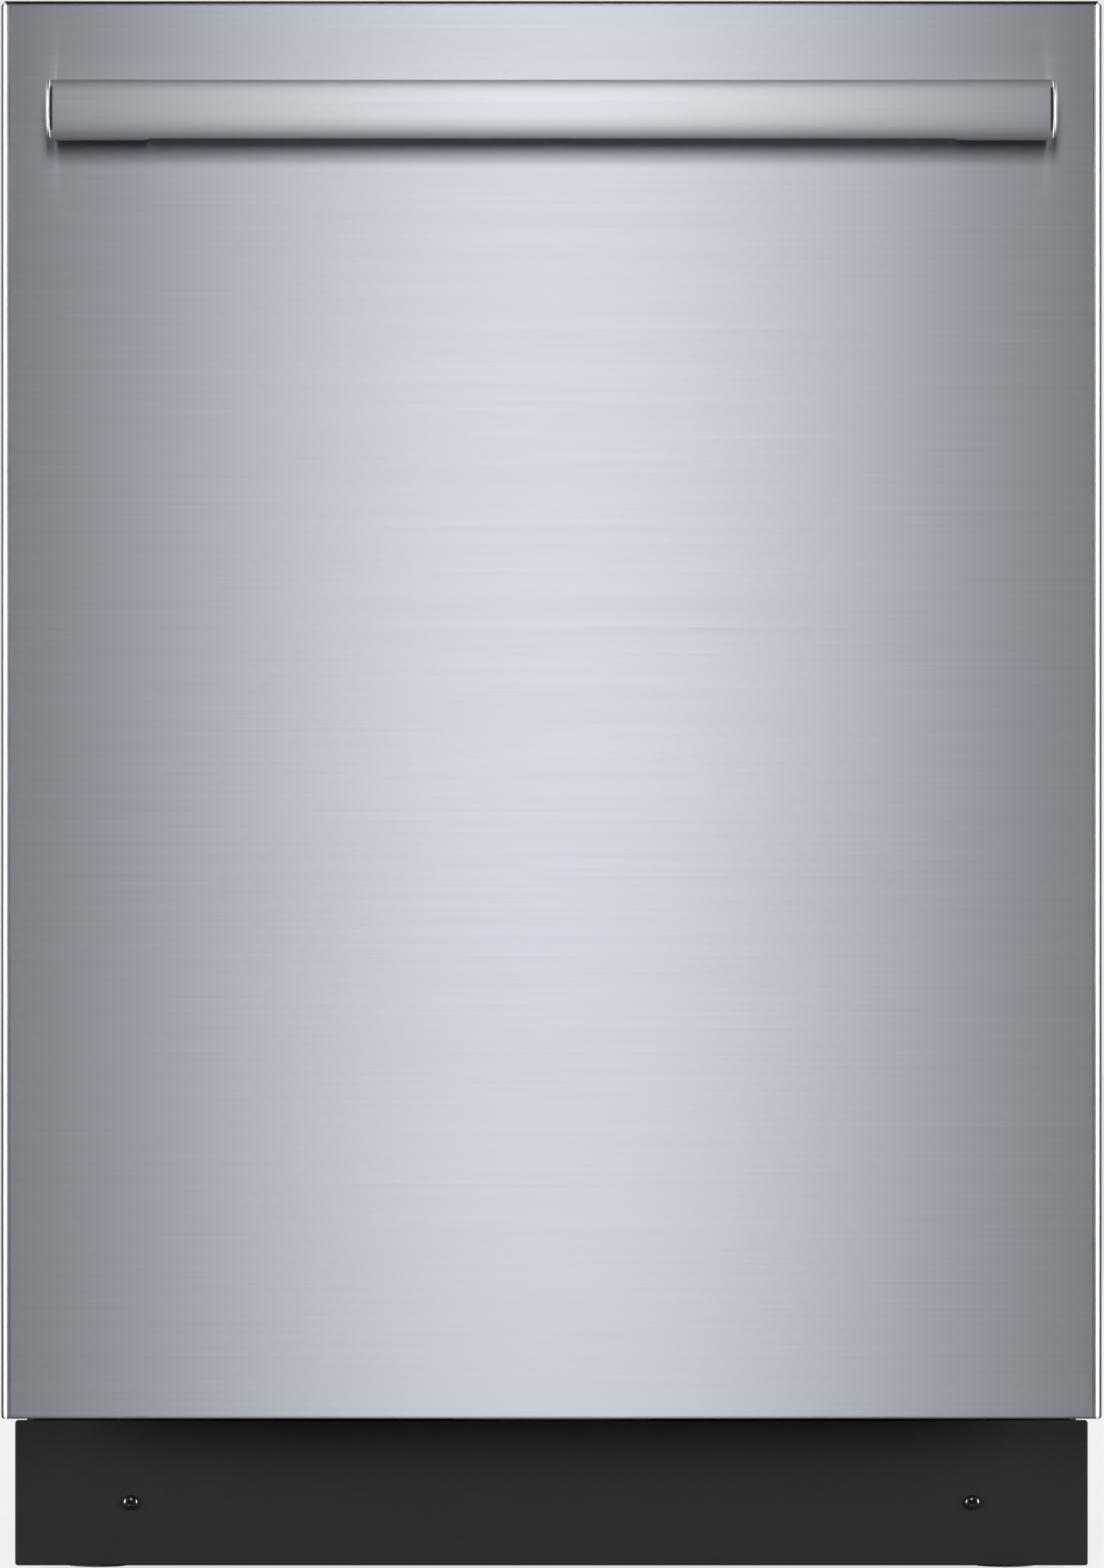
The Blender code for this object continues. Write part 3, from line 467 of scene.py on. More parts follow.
def paint_set():
    """Every material, by a short name."""
    return {
        "door": brushed("door_steel", (0.595, 0.625, 0.68), 0.41),
        "bar": brushed("bar_steel", (0.70, 0.73, 0.775), 0.42, is_round=True),
        "edge": satin_steel("edge_steel", (0.56, 0.57, 0.59), 0.30),
        "cap": satin_steel("cap_steel", (0.46, 0.47, 0.48), 0.36),
        # Painted shade: near-black steel on the rolls' outermost parts, where they turn away from the light.
        "outline": satin_steel("painted_shade_roll_steel", (0.045, 0.046, 0.048), 0.60),
        # Painted shade: dark steel in the grooves beside the rolled edges.
        "seam": satin_steel("painted_shade_groove_steel", (0.20, 0.205, 0.215), 0.45),
        # Painted shade: the posts are darkened steel, standing in for the shadow line just above the bar.
        "post": satin_steel("painted_shade_post_steel", (0.22, 0.225, 0.235), 0.50),
        "tub": satin_steel("tub_steel", (0.66, 0.67, 0.68), 0.26),
        "zinc": zinc(),
        "black": plastic("black_plastic", (0.024, 0.024, 0.026), 0.42),
        "strip": plastic("strip_plastic", (0.012, 0.012, 0.013), 0.26, 1400, 0.00002),
        "toe": painted("toe_paint", (0.0115, 0.0115, 0.0115), 0.70, 0.15),
        "screw": painted("screw_black", (0.004, 0.004, 0.004), 0.20, 1.0),
        "grey": plastic("grey_plastic", (0.30, 0.31, 0.33), 0.42),
        "key": plastic("key_plastic", (0.055, 0.057, 0.062), 0.38),
        "pale": plastic("pale_plastic", (0.62, 0.63, 0.65), 0.38),
        "nylon": nylon(),
        "rubber": rubber(),
        "felt": felt(),
        "mesh": filter_mesh(),
    }


paint = paint_set()


# ---- camera, floor and light


FACE_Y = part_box("door_outer_panel")[0].y
FRAME_TALL = 0.8524  # height that the camera sees at the door's face
LENS = 300
SENSOR = 36
CAMERA_X, CAMERA_Z = 0.0003, 0.4304


def camera():
    """A long lens square on to the door."""
    data = bpy.data.cameras.new("camera")
    data.sensor_width = SENSOR
    data.lens = LENS
    data.clip_end = 60
    obj = link(bpy.data.objects.new("camera", data))
    obj.location = (CAMERA_X, FACE_Y - FRAME_TALL * LENS / SENSOR, CAMERA_Z)
    obj.rotation_euler = (math.radians(90), 0, 0)
    bpy.context.scene.camera = obj


def floor():
    """A pale floor for the camera, which throws little light back up at the door."""
    mesh = bpy.data.meshes.new("floor")
    half = 12
    corners = [(-half, -half, 0), (half, -half, 0), (half, half, 0), (-half, half, 0)]
    mesh.from_pydata(corners, [], [(0, 1, 2, 3)])
    obj = link(bpy.data.objects.new("floor", mesh))
    sockets = {"Specular_IOR_Level": 0.1, "Emission_Color": (1, 1, 1, 1)}
    pale = Surface("floor_pale", (0.10, 0.10, 0.105), 0.8, **sockets)
    seen = pale.node("ShaderNodeLightPath").outputs["Is Camera Ray"]
    pale.marks(seen, (0.32, 0.32, 0.32), pale.colour)
    pale.feed(pale.shader, "Emission Strength", pale.math("MULTIPLY", seen, 0.72))
    mesh.materials.append(pale.material)


def softbox(name, place, target, width, height, power, spread=180):
    """A rectangular light that the camera doesn't see."""
    data = bpy.data.lights.new(name, "AREA")
    data.shape = "RECTANGLE"
    data.size, data.size_y = width, height
    data.energy = power
    data.spread = math.radians(spread)
    obj = link(bpy.data.objects.new(name, data))
    obj.location = place
    aim = Vector(target) - Vector(place)
    obj.rotation_euler = aim.to_track_quat("-Z", "Y").to_euler()
    obj.visible_camera = False


def world():
    """White to the camera, and a quiet grey to everything that it lights."""
    made = bpy.data.worlds.new("studio")
    bpy.context.scene.world = made
    made.use_nodes = True
    nodes, links = made.node_tree.nodes, made.node_tree.links
    dim, white = nodes["Background"], nodes.new("ShaderNodeBackground")
    dim.inputs["Color"].default_value = (0.92, 0.95, 1.0, 1)
    dim.inputs["Strength"].default_value = 0.02
    rays, mix = nodes.new("ShaderNodeLightPath"), nodes.new("ShaderNodeMixShader")
    links.new(rays.outputs["Is Camera Ray"], mix.inputs["Fac"])
    links.new(dim.outputs["Background"], mix.inputs[1])
    links.new(white.outputs["Background"], mix.inputs[2])
    links.new(mix.outputs["Shader"], nodes["World Output"].inputs["Surface"])


def studio():
    """A tall key light in front, one light at each side and each rear corner, and one high behind."""
    world()
    middle = (0, 0, 0.4)
    softbox("front_strip", (0, FACE_Y - 3.5, 1.47), (0, FACE_Y, 0.18), 0.48, 1.1, 3.25, 70)
    for word, side in SIDES:
        place, target = (side * 2.0, FACE_Y - 0.95, 0.55), (side * 0.29, FACE_Y, 0.43)
        softbox(f"side_{word}", place, target, 1.0, 1.3, 11.6, 50)
        softbox(f"back_{word}", (side * 2.2, 2.2, 1.6), middle, 1.4, 1.8, 15)
    softbox("rear_wall", (0, 3.4, 2.4), middle, 5.0, 2.6, 44)
    bpy.context.scene.view_settings.view_transform = "Standard"


# ---- door


def roll_in(depth, edge):
    """How far a rolled edge has come in at that depth behind its flat face."""
    if depth >= edge:
        return 0.0
    return edge - math.sqrt(max(0.0, edge**2 - (edge - depth) ** 2))


def tray(name, box, corner, edge_x, edge_z, sheet, seam=0.0, steps=12):
    """A folded sheet tray, open behind, with its front edges rolled: edge_x at the sides, edge_z above
    and below. A seam is the width of the fine groove between the flat and the rolled side edges."""
    low, high = box
    tight = 0.0002  # smallest corner of a ring
    lip = 0.0003  # how far the rear edge is eased
    border_x, border_z = 0.0012, 0.0011  # the front's outermost strip, which keeps its face regular

    def ring(side, end, round_by, y):
        return at_y(rounded(low.x + side, high.x - side, low.z + end, high.z - end, round_by), y)

    rings = [ring(edge_x + seam + border_x, edge_z + border_z, tight, low.y)]
    if seam:
        for across, up, deep in ((1, 0.0003, 0), (0.7, 0.0002, 0.4), (0.3, 0.0001, 0.4)):
            rings.append(ring(edge_x + across * seam, edge_z + up, tight, low.y + deep * seam))
    depths = {0.0}
    for edge in (edge_x, edge_z):
        depths.update(round(edge * (1 - math.cos(t)), 7) for t in quarter(steps))
    for depth in sorted(depths):
        side, end = roll_in(depth, edge_x), roll_in(depth, edge_z)
        rings.append(ring(side, end, max(corner - end, tight), low.y + depth))
    rings.append(ring(0, 0, corner, high.y - lip))
    rings.append(ring(lip, lip, corner, high.y))
    rings.append(ring(sheet, sheet, corner, high.y))
    rings.append(ring(sheet, sheet, corner, low.y + edge_x + sheet))
    rings.append(ring(edge_x + sheet, edge_z + sheet, tight, low.y + sheet))
    return loft(name, rings, 30)


def paint_faces(obj, finish, wanted):
    """Gives another material to the faces whose centres are wanted."""
    obj.data.materials.append(paint[finish])
    index = len(obj.data.materials) - 1
    for face in obj.data.polygons:
        if wanted(face.center):
            face.material_index = index


def door_front():
    """The skin, its bright rolled upright edges, and the groove beside each of them; the grooves and the
    rolls' outermost parts get painted shade.
    """
    low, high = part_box("door_outer_panel")
    inner = high.x - EDGE
    hair = 0.00001
    skin = tray("door_skin", (low, high), 0.0013, EDGE, FOLD, SHEET, SEAM)
    add(skin, "door", "door", "brushed_steel", "door_outer_panel")

    def rolled(at):
        upright = low.z + ROLL_END < at.z < high.z - ROLL_END
        return upright and abs(at.x) > inner + hair and at.y < low.y + EDGE

    def grooved(at):
        groove = inner - SEAM < abs(at.x) < inner + hair and at.y < low.y + SEAM
        return groove and low.z + FOLD < at.z < high.z - FOLD

    # The outermost part of each roll, which gets painted shade.
    def outermost(at):
        return rolled(at) and abs(at.x) > high.x - OUTLINE

    paint_faces(skin, "edge", rolled)
    # Painted shade in each groove.
    paint_faces(skin, "seam", grooved)
    # Painted shade on the outermost part of each roll.
    paint_faces(skin, "outline", outermost)


def bar_section(low, high, share):
    """The bar's side view: a crowned front and back, blended at top and bottom."""
    middle, half, steps = (low + high) / 2, (high - low) / 2 * share, 28
    points = []
    for i in range(2 * steps):
        t = math.pi * i / steps
        y = -math.copysign(abs(math.cos(t)) ** 0.75, math.cos(t))
        z = math.copysign(abs(math.sin(t)) ** 0.75, math.sin(t))
        points.append((middle.y + y * half.y, middle.z + z * half.z))
    return points


def handle():
    low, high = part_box("handle_bar")
    ends = ((0, 0.975), (0.0004, 1.0), (0.0020, 1.0))  # distance from an end, and the section's share
    stations = [(low.x + inset, share) for inset, share in ends]
    stations += [(high.x - inset, share) for inset, share in reversed(ends)]
    bar = loft("bar", [at_x(bar_section(low, high, share), x) for x, share in stations], 30)
    add(bar, "door", "bar", "brushed_steel", "handle_bar")
    for word, side in SIDES:
        handle_cap(word, side, (low, high))
        handle_post(word)


def handle_cap(word, side, bar):
    """A domed end cap on the bar's section."""
    low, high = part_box(f"handle_end_cap_{word}")
    inner, outer = (low.x, high.x) if side > 0 else (high.x, low.x)
    rings = []
    for t in quarter(8):
        section = bar_section(*bar, max(0.06, math.cos(t) ** 0.55))
        rings.append(at_x(section, inner + (outer - inner) * math.sin(t)))
    cap = loft(f"bar_cap_{word}", rings, 50)
    add(cap, "door", "cap", "bright_steel", f"handle_end_cap_{word}")


def handle_post(word):
    """A straight post with its root drawn in where it meets the door."""
    low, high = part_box(f"handle_post_{word}")
    rings = []
    stations = [(low.y, 0), *((high.y - back, 0) for back in (0.004, 0.0018, 0.0006)), (high.y, 0.00048)]
    for y, inset in stations:
        outline = rounded(low.x + inset, high.x - inset, low.z + inset, high.z - inset, 0.003, 8)
        rings.append(at_y(outline, y))
    post = loft(f"post_{word}", rings, 30)
    # The post gets darkened steel as painted shade.
    add(post, "door", "post", "brushed_steel", f"handle_post_{word}")


def liner():
    """The pressed inner door: flange, rolled wall, raised border and a shallow sunk field."""
    low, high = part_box("door_inner_liner")
    half, front, back, top = high.x, low.y, high.y, high.z
    pan = half - 0.0115  # half width inside the flange
    bottom = low.z + 0.0178
    sheet, roll, border, sunk = 0.0008, 0.009, 0.036, 0.003
    wall_corner, field_corner = 0.014, 0.020
    shorter = 0.010  # the field stops this much lower than the pan
    centre = 0.096  # the field's last ring, well inside it
    field = back - sunk

    def flange(y):
        return at_y(rounded(-half, half, low.z, top, 0.002), y)

    def ring(inset, y, corner, drop=0.0004):
        outline = rounded(-pan + inset, pan - inset, bottom + inset, top - drop - inset, corner)
        return at_y(outline, y)

    wet = [flange(front), flange(front + sheet), ring(0, front + sheet, wall_corner)]
    for t in quarter(6):
        wet.append(ring(roll * (1 - math.cos(t)), back - roll + roll * math.sin(t), 0.016))
    for inset, drop in ((0, 0), (0.002, 0.0008), (0.006, 0.0026), (0.008, sunk)):
        wet.append(ring(border + inset, back - drop, field_corner, shorter))
    wet.append(ring(centre, field, field_corner, shorter))
    dry = [
        ring(sheet, front, wall_corner),
        ring(sheet, front + 0.004, wall_corner),
        ring(roll, field - sheet - 0.0002, field_corner),
        ring(centre, field - sheet, field_corner, shorter),
    ]
    panel = loft("inner_door", wet[::-1] + dry, 30)
    low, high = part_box("detergent_dispenser")
    rim = 0.0055
    window_low = (low.x + rim, back - 0.02, low.z + rim)
    window_high = (high.x - rim, back + 0.01, high.z - rim)
    boolean(panel, block("dispenser_window", window_low, window_high, 0.0001), angle=30)
    add(panel, "door", "tub", "tub_steel", "door_inner_liner")


def dispenser():
    """The dispenser, its lid with grip ribs, the rinse aid cap and the small window under it."""
    carry("detergent_dispenser", "grey", 0.0009, 3)
    carry("dispenser_lid", "pale", 0.0009, 3)
    carry("rinse_aid_cap", "pale", 0.0005)
    low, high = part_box("dispenser_lid")
    margin, pitch, wide, sunk, raised = 0.022, 0.004, 0.0018, 0.0026, 0.0014
    for k in range(5):
        z = low.z + 0.010 + pitch * k
        rib_low, rib_high = (low.x + margin, high.y - sunk, z), (high.x - margin, high.y - raised, z + wide)
        add(block(f"lid_rib_{k + 1}", rib_low, rib_high, 0.0005), "dispenser_lid", "pale", "grey_plastic")
    low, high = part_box("rinse_aid_cap")
    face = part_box("detergent_dispenser")[1].y + 0.0002
    profile = [(0, 0), (0.0062, 0), (0.0062, 0.0006), (0.0050, 0.0013), (0, 0.0016)]
    lens = lathe("rinse_aid_window", profile, ((low.x + high.x) / 2, face, low.z - 0.022), "Y", 28)
    add(lens, "door", "strip", "black_plastic")


def control_strip():
    carry("control_panel", "strip", 0.0004, 3)
    carry("latch_catch", "zinc", 0.0003)
    carry("door_bottom_seal", "rubber", 0.0006, 3)
    for key in ("power_button", "program_button_1", "program_button_2", "start_button"):
        carry(key, "key", 0.0012, 4)


def hinges():
    for word, _ in SIDES:
        carry(f"hinge_arm_{word}", "zinc", 0.0004)
        carry(f"hinge_bracket_{word}", "zinc", 0.0003)


# ---- toe panel


def toe_panel():
    panel = tray("toe_panel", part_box("toe_kick"), 0.0015, 0.0009, 0.0009, 0.0011, steps=6)
    add(panel, "cabinet", "toe", "toe_black", "toe_kick")
    for word, _ in SIDES:
        screw(word)


def screw(word):
    """A black pan head screw with a cross recess."""
    low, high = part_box(f"toe_kick_screw_{word}")
    x, z = (low.x + high.x) / 2, (low.z + high.z) / 2
    radius, crown, shank, length = (high.x - low.x) / 2, 0.0021, 0.0019, 0.0138
    centre = (x, low.y + crown, z)
    profile = [(0, -crown)]
    profile += [(radius * math.sin(t) ** 0.9, -crown * math.cos(t) ** 0.75) for t in quarter(12)[1:]]
    profile += [(radius * 0.96, 0.0), (shank, 0.0), (shank, 0.012), (0.0012, length), (0, length)]
    head = lathe(f"toe_screw_{word}", profile, centre, "Y", 40)
    for k in range(2):
        cut = block(f"recess_{k}", (-0.0022, -0.0040, -0.00055), (0.0022, -0.0006, 0.00055), 0.0001)
        turn = Matrix.Rotation(math.radians(45 + 90 * k), 4, "Y")
        cut.data.transform(Matrix.Translation(centre) @ turn)
        boolean(head, cut, angle=30)
    add(head, "cabinet", "screw", "black_screw", f"toe_kick_screw_{word}")


# ---- tub and its fittings


def tub():
    """A deep drawn shell with a flange and rolled corners, and the ledges that carry the cutlery tray."""
    low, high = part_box("tub")
    front, back = low.y, high.y
    flange, sheet, roll, ease, corner_steps = 0.012, 0.0012, 0.020, 0.003, 8
    outer, base, roof = high.x - flange, low.z + flange, high.z - flange

    def wall(grow, y):
        """The wall's outline, grown from its outside."""
        half = outer + grow
        return at_y(rounded(-half, half, base - grow, roof + grow, TUB_CORNER, corner_steps), y)

    rings = [wall(-roll * (1 - math.sin(t)), back - roll + roll * math.cos(t)) for t in quarter(6)]
    rings += [wall(0, front + sheet + 0.004), wall(0.001, front + sheet)]
    for y in (front + sheet, front):
        rings.append(at_y(rounded(-high.x, high.x, low.z, high.z, 0.012, corner_steps), y))
    for t in quarter(5):
        rings.append(wall(ease * (1 - math.sin(t)) - sheet, front + ease * (1 - math.cos(t))))
    for t in quarter(8):
        inset = roll * (1 - math.cos(t))
        rings.append(wall(-sheet - inset, back - sheet - roll + roll * math.sin(t)))
    shell = loft("tub_shell", rings, 40)
    drill(shell, 0.074, (0, SPRAY_Y, base), 64, 40)
    add(shell, "cabinet", "tub", "tub_steel", "tub")
    for word, side in SIDES:
        x0, x1 = sorted((side * 0.2462, side * (outer - sheet - 0.0002)))
        ledge_low, ledge_high = (x0, -0.210, TRAY_RAIL_Z - 0.0058), (x1, 0.262, TRAY_RAIL_Z)
        add(block(f"tray_ledge_{word}", ledge_low, ledge_high, 0.0015), "cabinet", "tub", "tub_steel")


def sweep(name, section, route):
    """Runs a section, in (outwards, along Y), down a route in the XZ plane, mitred at its corners."""
    rings = []
    for i, here in enumerate(route):
        run = route[min(i + 1, len(route) - 1)] - route[max(i - 1, 0)]
        out = Vector((-run.z, 0, run.x)).normalized()
        rings.append([here + out * a + Vector((0, b, 0)) for a, b in section])
    return loft(name, rings, 40)


def gasket():
    """A bulb seal pressed on the tub's rim: up one side, across the top and down the other."""
    low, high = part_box("tub_gasket")
    wide, deep = 0.0088, high.y - low.y
    x, foot, top = high.x - wide / 2, low.z + 0.0002, high.z - wide / 2
    route = fillet([(-x, 0, foot), (-x, 0, top), (x, 0, top), (x, 0, foot)], 0.018, steps=9)
    middle = (low.y + high.y) / 2
    turns = [2 * math.pi * i / 18 for i in range(18)]
    section = [(0.42 * wide * math.cos(t), middle + 0.47 * deep * math.sin(t)) for t in turns]
    add(sweep("door_seal", section, route), "cabinet", "rubber", "rubber", "tub_gasket")


def fittings():
    """What stays as the CAD has it, from strike plate to feet, and the filter's plate."""
    carry("strike_plate", "zinc", 0.0004)
    for word, _ in SIDES:
        carry(f"counter_bracket_{word}", "zinc", 0.0004)
        carry(f"upper_rail_{word}", "tub", 0.0004)
        carry(f"upper_rail_slide_{word}", "zinc", 0.0006)
        for row in ("front", "rear"):
            carry(f"{row}_foot_{word}", "grey", 0.0006)
    carry("water_feed_tube", "grey", 0.0028, 4)
    carry("sump", "grey", 0.0006)
    carry("filter_cylinder", "mesh", 0.0004)
    carry("junction_box", "zinc", 0.0005)
    carry("inlet_valve", "pale", 0.0016, 3)
    carry("circulation_pump", "black", 0.0015, 3)
    carry("drain_pump", "black", 0.0012, 3)
    carry("base_pan", "black", 0.0012, 3)
    filter_plate()


def filter_plate():
    """The steel plate round the filter, dished towards it."""
    floor_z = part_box("tub")[0].z + 0.0135
    under = ((0.0125, 0.0004), (0.040, 0.0006), (0.072, 0.0016), (0.082, 0.0013))
    over = ((0.082, 0.0021), (0.072, 0.0026), (0.040, 0.0016), (0.0125, 0.0014))
    profile = [(radius, floor_z + lift) for radius, lift in under + over]
    plate = lathe("filter_plate", profile, (0, SPRAY_Y, 0), "Z", 64)
    low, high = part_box("filter_cylinder")
    drill(plate, 0.0275, ((low.x + high.x) / 2, (low.y + high.y) / 2, floor_z), 48)
    add(plate, "cabinet", "mesh", "tub_steel")


def spring(word):
    """A close wound balance spring with a straight tail at each end."""
    low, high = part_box(f"door_spring_{word}")
    x, z = (low.x + high.x) / 2, (low.z + high.z) / 2
    wire, turns, steps, tail = 0.0009, 24, 14, 0.016
    radius = (high.x - low.x) / 2 - wire
    start, end = low.y + tail, high.y - tail
    coil = [(x, low.y + wire, z), (x, low.y + tail * 0.7, z)]
    for i in range(turns * steps + 1):
        t = 2 * math.pi * i / steps
        share = i / (turns * steps)
        coil.append((x + radius * math.cos(t), start + (end - start) * share, z + radius * math.sin(t)))
    coil += [(x, high.y - tail * 0.7, z), (x, high.y - wire, z)]
    made = wires(f"balance_spring_{word}", [coil], wire, 2)
    add(made, "cabinet", "zinc", "zinc_plate", f"door_spring_{word}")


# ---- sound blanket


def on_stitch(u, v, gaps, step):
    """True for the grid points that are nearest to a stitch line."""
    return any(abs(at - gap * round(at / gap)) < step * 0.55 for at, gap in zip((u, v), gaps))


def quilted_sheet(name, corner, along, up, out, size, gaps):
    """A flat felt pad, swollen between stitch lines that lie gaps apart in each of its two directions."""
    wide, tall = size
    step = 0.0175
    nu, nv = max(4, round(wide / step)), max(4, round(tall / step))
    corner, along, up, out = (Vector(v) for v in (corner, along, up, out))
    bm = bmesh.new()
    grid = {}
    for layer, i, j in product((0, 1), range(nu + 1), range(nv + 1)):
        u, v = wide * i / nu, tall * j / nv
        edge = min(u, wide - u, v, tall - v)
        lift = 0.0
        if layer:
            rim = 0.0 if on_stitch(u, v, gaps, step) else min(1.0, edge / 0.010)
            lift = PAD * (0.30 + 0.70 * math.sqrt(rim * (2 - rim)))
        grid[layer, i, j] = bm.verts.new(corner + along * u + up * v + out * lift)
    for layer, i, j in product((0, 1), range(nu), range(nv)):
        around = ((i, j), (i + 1, j), (i + 1, j + 1), (i, j + 1))
        bm.faces.new([grid[layer, a, b] for a, b in around])
    border = (
        [(i, 0) for i in range(nu)]
        + [(nu, j) for j in range(nv)]
        + [(i, nv) for i in range(nu, 0, -1)]
        + [(0, j) for j in range(nv, 0, -1)]
    )
    for (i, j), (a, b) in zip(border, border[1:] + border[:1]):
        bm.faces.new((grid[0, i, j], grid[0, a, b], grid[1, a, b], grid[1, i, j]))
    obj = from_bmesh(name, bm, 60)
    held = obj.vertex_groups.new(name="held")
    for vertex in obj.data.vertices:
        place = vertex.co - corner
        u, v, lift = place.dot(along), place.dot(up), place.dot(out)
        at_border = min(u, wide - u, v, tall - v) < step * 0.6
        if lift < PAD * 0.3 or at_border or on_stitch(u, v, gaps, step):
            held.add([vertex.index], 1.0, "REPLACE")
    swell(obj)
    return obj


def swell(obj):
    """Lets the felt's outer face swell by cloth pressure between its stitches, then caps how far it went."""
    scene = bpy.context.scene
    rest = [v.co.copy() for v in obj.data.vertices]
    cloth = obj.modifiers.new("cloth", "CLOTH")
    settings = cloth.settings
    settings.quality, settings.mass = 3, 0.4
    settings.tension_stiffness = settings.compression_stiffness = 12
    settings.shear_stiffness, settings.bending_stiffness = 6, 0.8
    settings.use_pressure, settings.uniform_pressure_force = True, 1.2
    settings.vertex_group_mass = "held"
    settings.effector_weights.gravity = 0
    cloth.collision_settings.use_self_collision = False
    last = 8
    cloth.point_cache.frame_start, cloth.point_cache.frame_end = 1, last
    for number in range(1, last + 1):
        scene.frame_set(number)
    graph = bpy.context.evaluated_depsgraph_get()
    moved = obj.evaluated_get(graph).to_mesh()
    after = [v.co.copy() for v in moved.vertices]
    obj.evaluated_get(graph).to_mesh_clear()
    obj.modifiers.clear()
    scene.frame_set(1)
    limit = PAD * 0.22
    for vertex, before, now in zip(obj.data.vertices, rest, after):
        shift = now - before
        if shift.length > limit:
            shift = shift.normalized() * limit
        vertex.co = before + shift
    obj.data.update()


def blankets():
    """Four felt pads that meet along the tub's edges, each stitched in channels."""
    low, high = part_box("insulation_blanket")
    skin, gap = 0.0100, 0.0001
    x, y, z = high.x - skin, high.y - skin, high.z - skin  # the pads' inner faces
    deep, tall = y - low.y, z - low.z
    lap = PAD * 0.6  # the roof and the back reach over the other pads
    wide = 2 * (x + lap)
    across, back, up = (1, 0, 0), (0, 1, 0), (0, 0, 1)
    pads = []
    for word, side in SIDES:
        corner, out = (side * (x + gap), low.y, low.z), (side, 0, 0)
        name, gaps = f"blanket_side_{word}", (0.170, 0.172)
        pads.append(quilted_sheet(name, corner, back, up, out, (deep, tall), gaps))
    corner = (-x - lap, low.y, z + gap)
    pads.append(quilted_sheet("blanket_roof", corner, across, back, up, (wide, deep), (0.185, 0.170)))
    corner = (-x - lap, y + gap, low.z)
    pads.append(quilted_sheet("blanket_back", corner, across, up, back, (wide, tall + lap), (0.185, 0.172)))
    for pad in pads:
        soften(pad)
        add(pad, "cabinet", "felt", "felt")
    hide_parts("insulation_blanket")


def soften(pad):
    """Rounds a pad's grid and gives it the slight ripple of pressed felt."""
    subdivision = pad.modifiers.new("smooth", "SUBSURF")
    subdivision.levels = subdivision.render_levels = 1
    apply_all(pad)
    pad.data.shade_smooth()
    for vertex in pad.data.vertices:
        ripple = noise.noise(vertex.co * 34) + 0.5 * noise.noise(vertex.co * 90)
        vertex.co += vertex.normal * ripple * 0.00035
    pad.data.update()


# ---- racks


def loop_route(x0, x1, y0, y1, z, corner):
    """A level hoop with round corners."""
    return (fillet([(x0, y0, z), (x1, y0, z), (x1, y1, z), (x0, y1, z)], corner, closed=True), True)


def nylon_wires(name, routes, radius, body, sides=3, *nodes):
    add(wires(name, routes, radius, sides), body, "nylon", "rack_nylon", *nodes)


def grey_piece(piece, body, *nodes):
    add(piece, body, "grey", "grey_plastic", *nodes)


class Rack:
    """A wire basket's measures: box is where its outermost wires' centres run, as (x, y0, y1, z0, z1)."""

    tuck, lean, bend = 0.0005, 0.004, 0.010  # how the grid wires leave the top hoop, and how they bend

    def __init__(self, node, body, half, rear, floor_z, thick, thin):
        low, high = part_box(node)
        self.node, self.body, self.thick, self.thin = node, body, thick, thin
        self.x, self.y0, self.y1 = half - thick, low.y + thick, rear - thick
        self.floor, self.top = floor_z + thick, high.z - thick

    def hoop(self, inset, z, corner):
        x = self.x - inset
        return loop_route(-x, x, self.y0 + inset, self.y1 - inset, z, corner)

    def hoops(self, heights):
        """The thick hoops at its top and floor, and the thinner ones between them."""
        rims = [self.hoop(0, self.top, 0.026), self.hoop(0.004, self.floor, 0.020)]
        nylon_wires(f"{self.node}_rims", rims, self.thick, self.body, 3, self.node)
        mids = [self.hoop(0.002, z, 0.024) for z in heights]
        nylon_wires(f"{self.node}_mid_wires", mids, self.thin, self.body)

    def lengthways(self, x, *floor_points):
        """A wire from the front hoop down, along the floor and up the rear."""
        front, rear = (x, self.y0 + self.tuck, self.top), (x, self.y1 - self.tuck, self.top)
        down, rise = (x, self.y0 + self.lean, self.floor), (x, self.y1 - self.lean, self.floor)
        return fillet([front, down, *floor_points, rise, rear], self.bend)

    def crossways(self, count, z):
        """Wires from side to side, under the lengthways ones or level with them."""
        rim, foot, top = self.x - self.tuck, self.x - self.lean, self.top
        ends = self.y0 + 0.034, self.y1 - 0.034
        return [
            fillet([(-rim, y, top), (-foot, y, z), (foot, y, z), (rim, y, top)], self.bend)
            for y in spaced(*ends, count)
        ]

    def wire_in(self, part, routes):
        nylon_wires(f"{self.node}_{part}", routes, self.thin, self.body, 2)


def lower_rack():
    """A deep wire basket on four wheels, with rows of plate tines beside the silverware basket."""
    rear, floor_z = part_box("lower_rack")[1].y, 0.176
    rack = Rack("lower_rack", "lower_basket", 0.252, rear, floor_z, 0.0024, 0.0016)
    rack.hoops((0.215, 0.255))
    grid = [rack.lengthways(x) for x in spaced(-rack.x + 0.030, rack.x - 0.030, 13)]
    rack.wire_in("grid", grid + rack.crossways(11, rack.floor - 2 * rack.thin))
    tines = []
    for y in (0.030, 0.085, 0.140, 0.195, 0.245):
        reach, count = (0.235, 13) if y > 0.115 else (0.105, 10)
        for x in spaced(-0.225, reach, count):
            tines.append([(x, y, rack.floor), (x, y + 0.004, rack.floor + 0.062)])
    rack.wire_in("tines", tines)
    for row, (word, side) in product(("front", "rear"), SIDES):
        wheel_mount(row, word, side, floor_z)
        wheel(row, word)


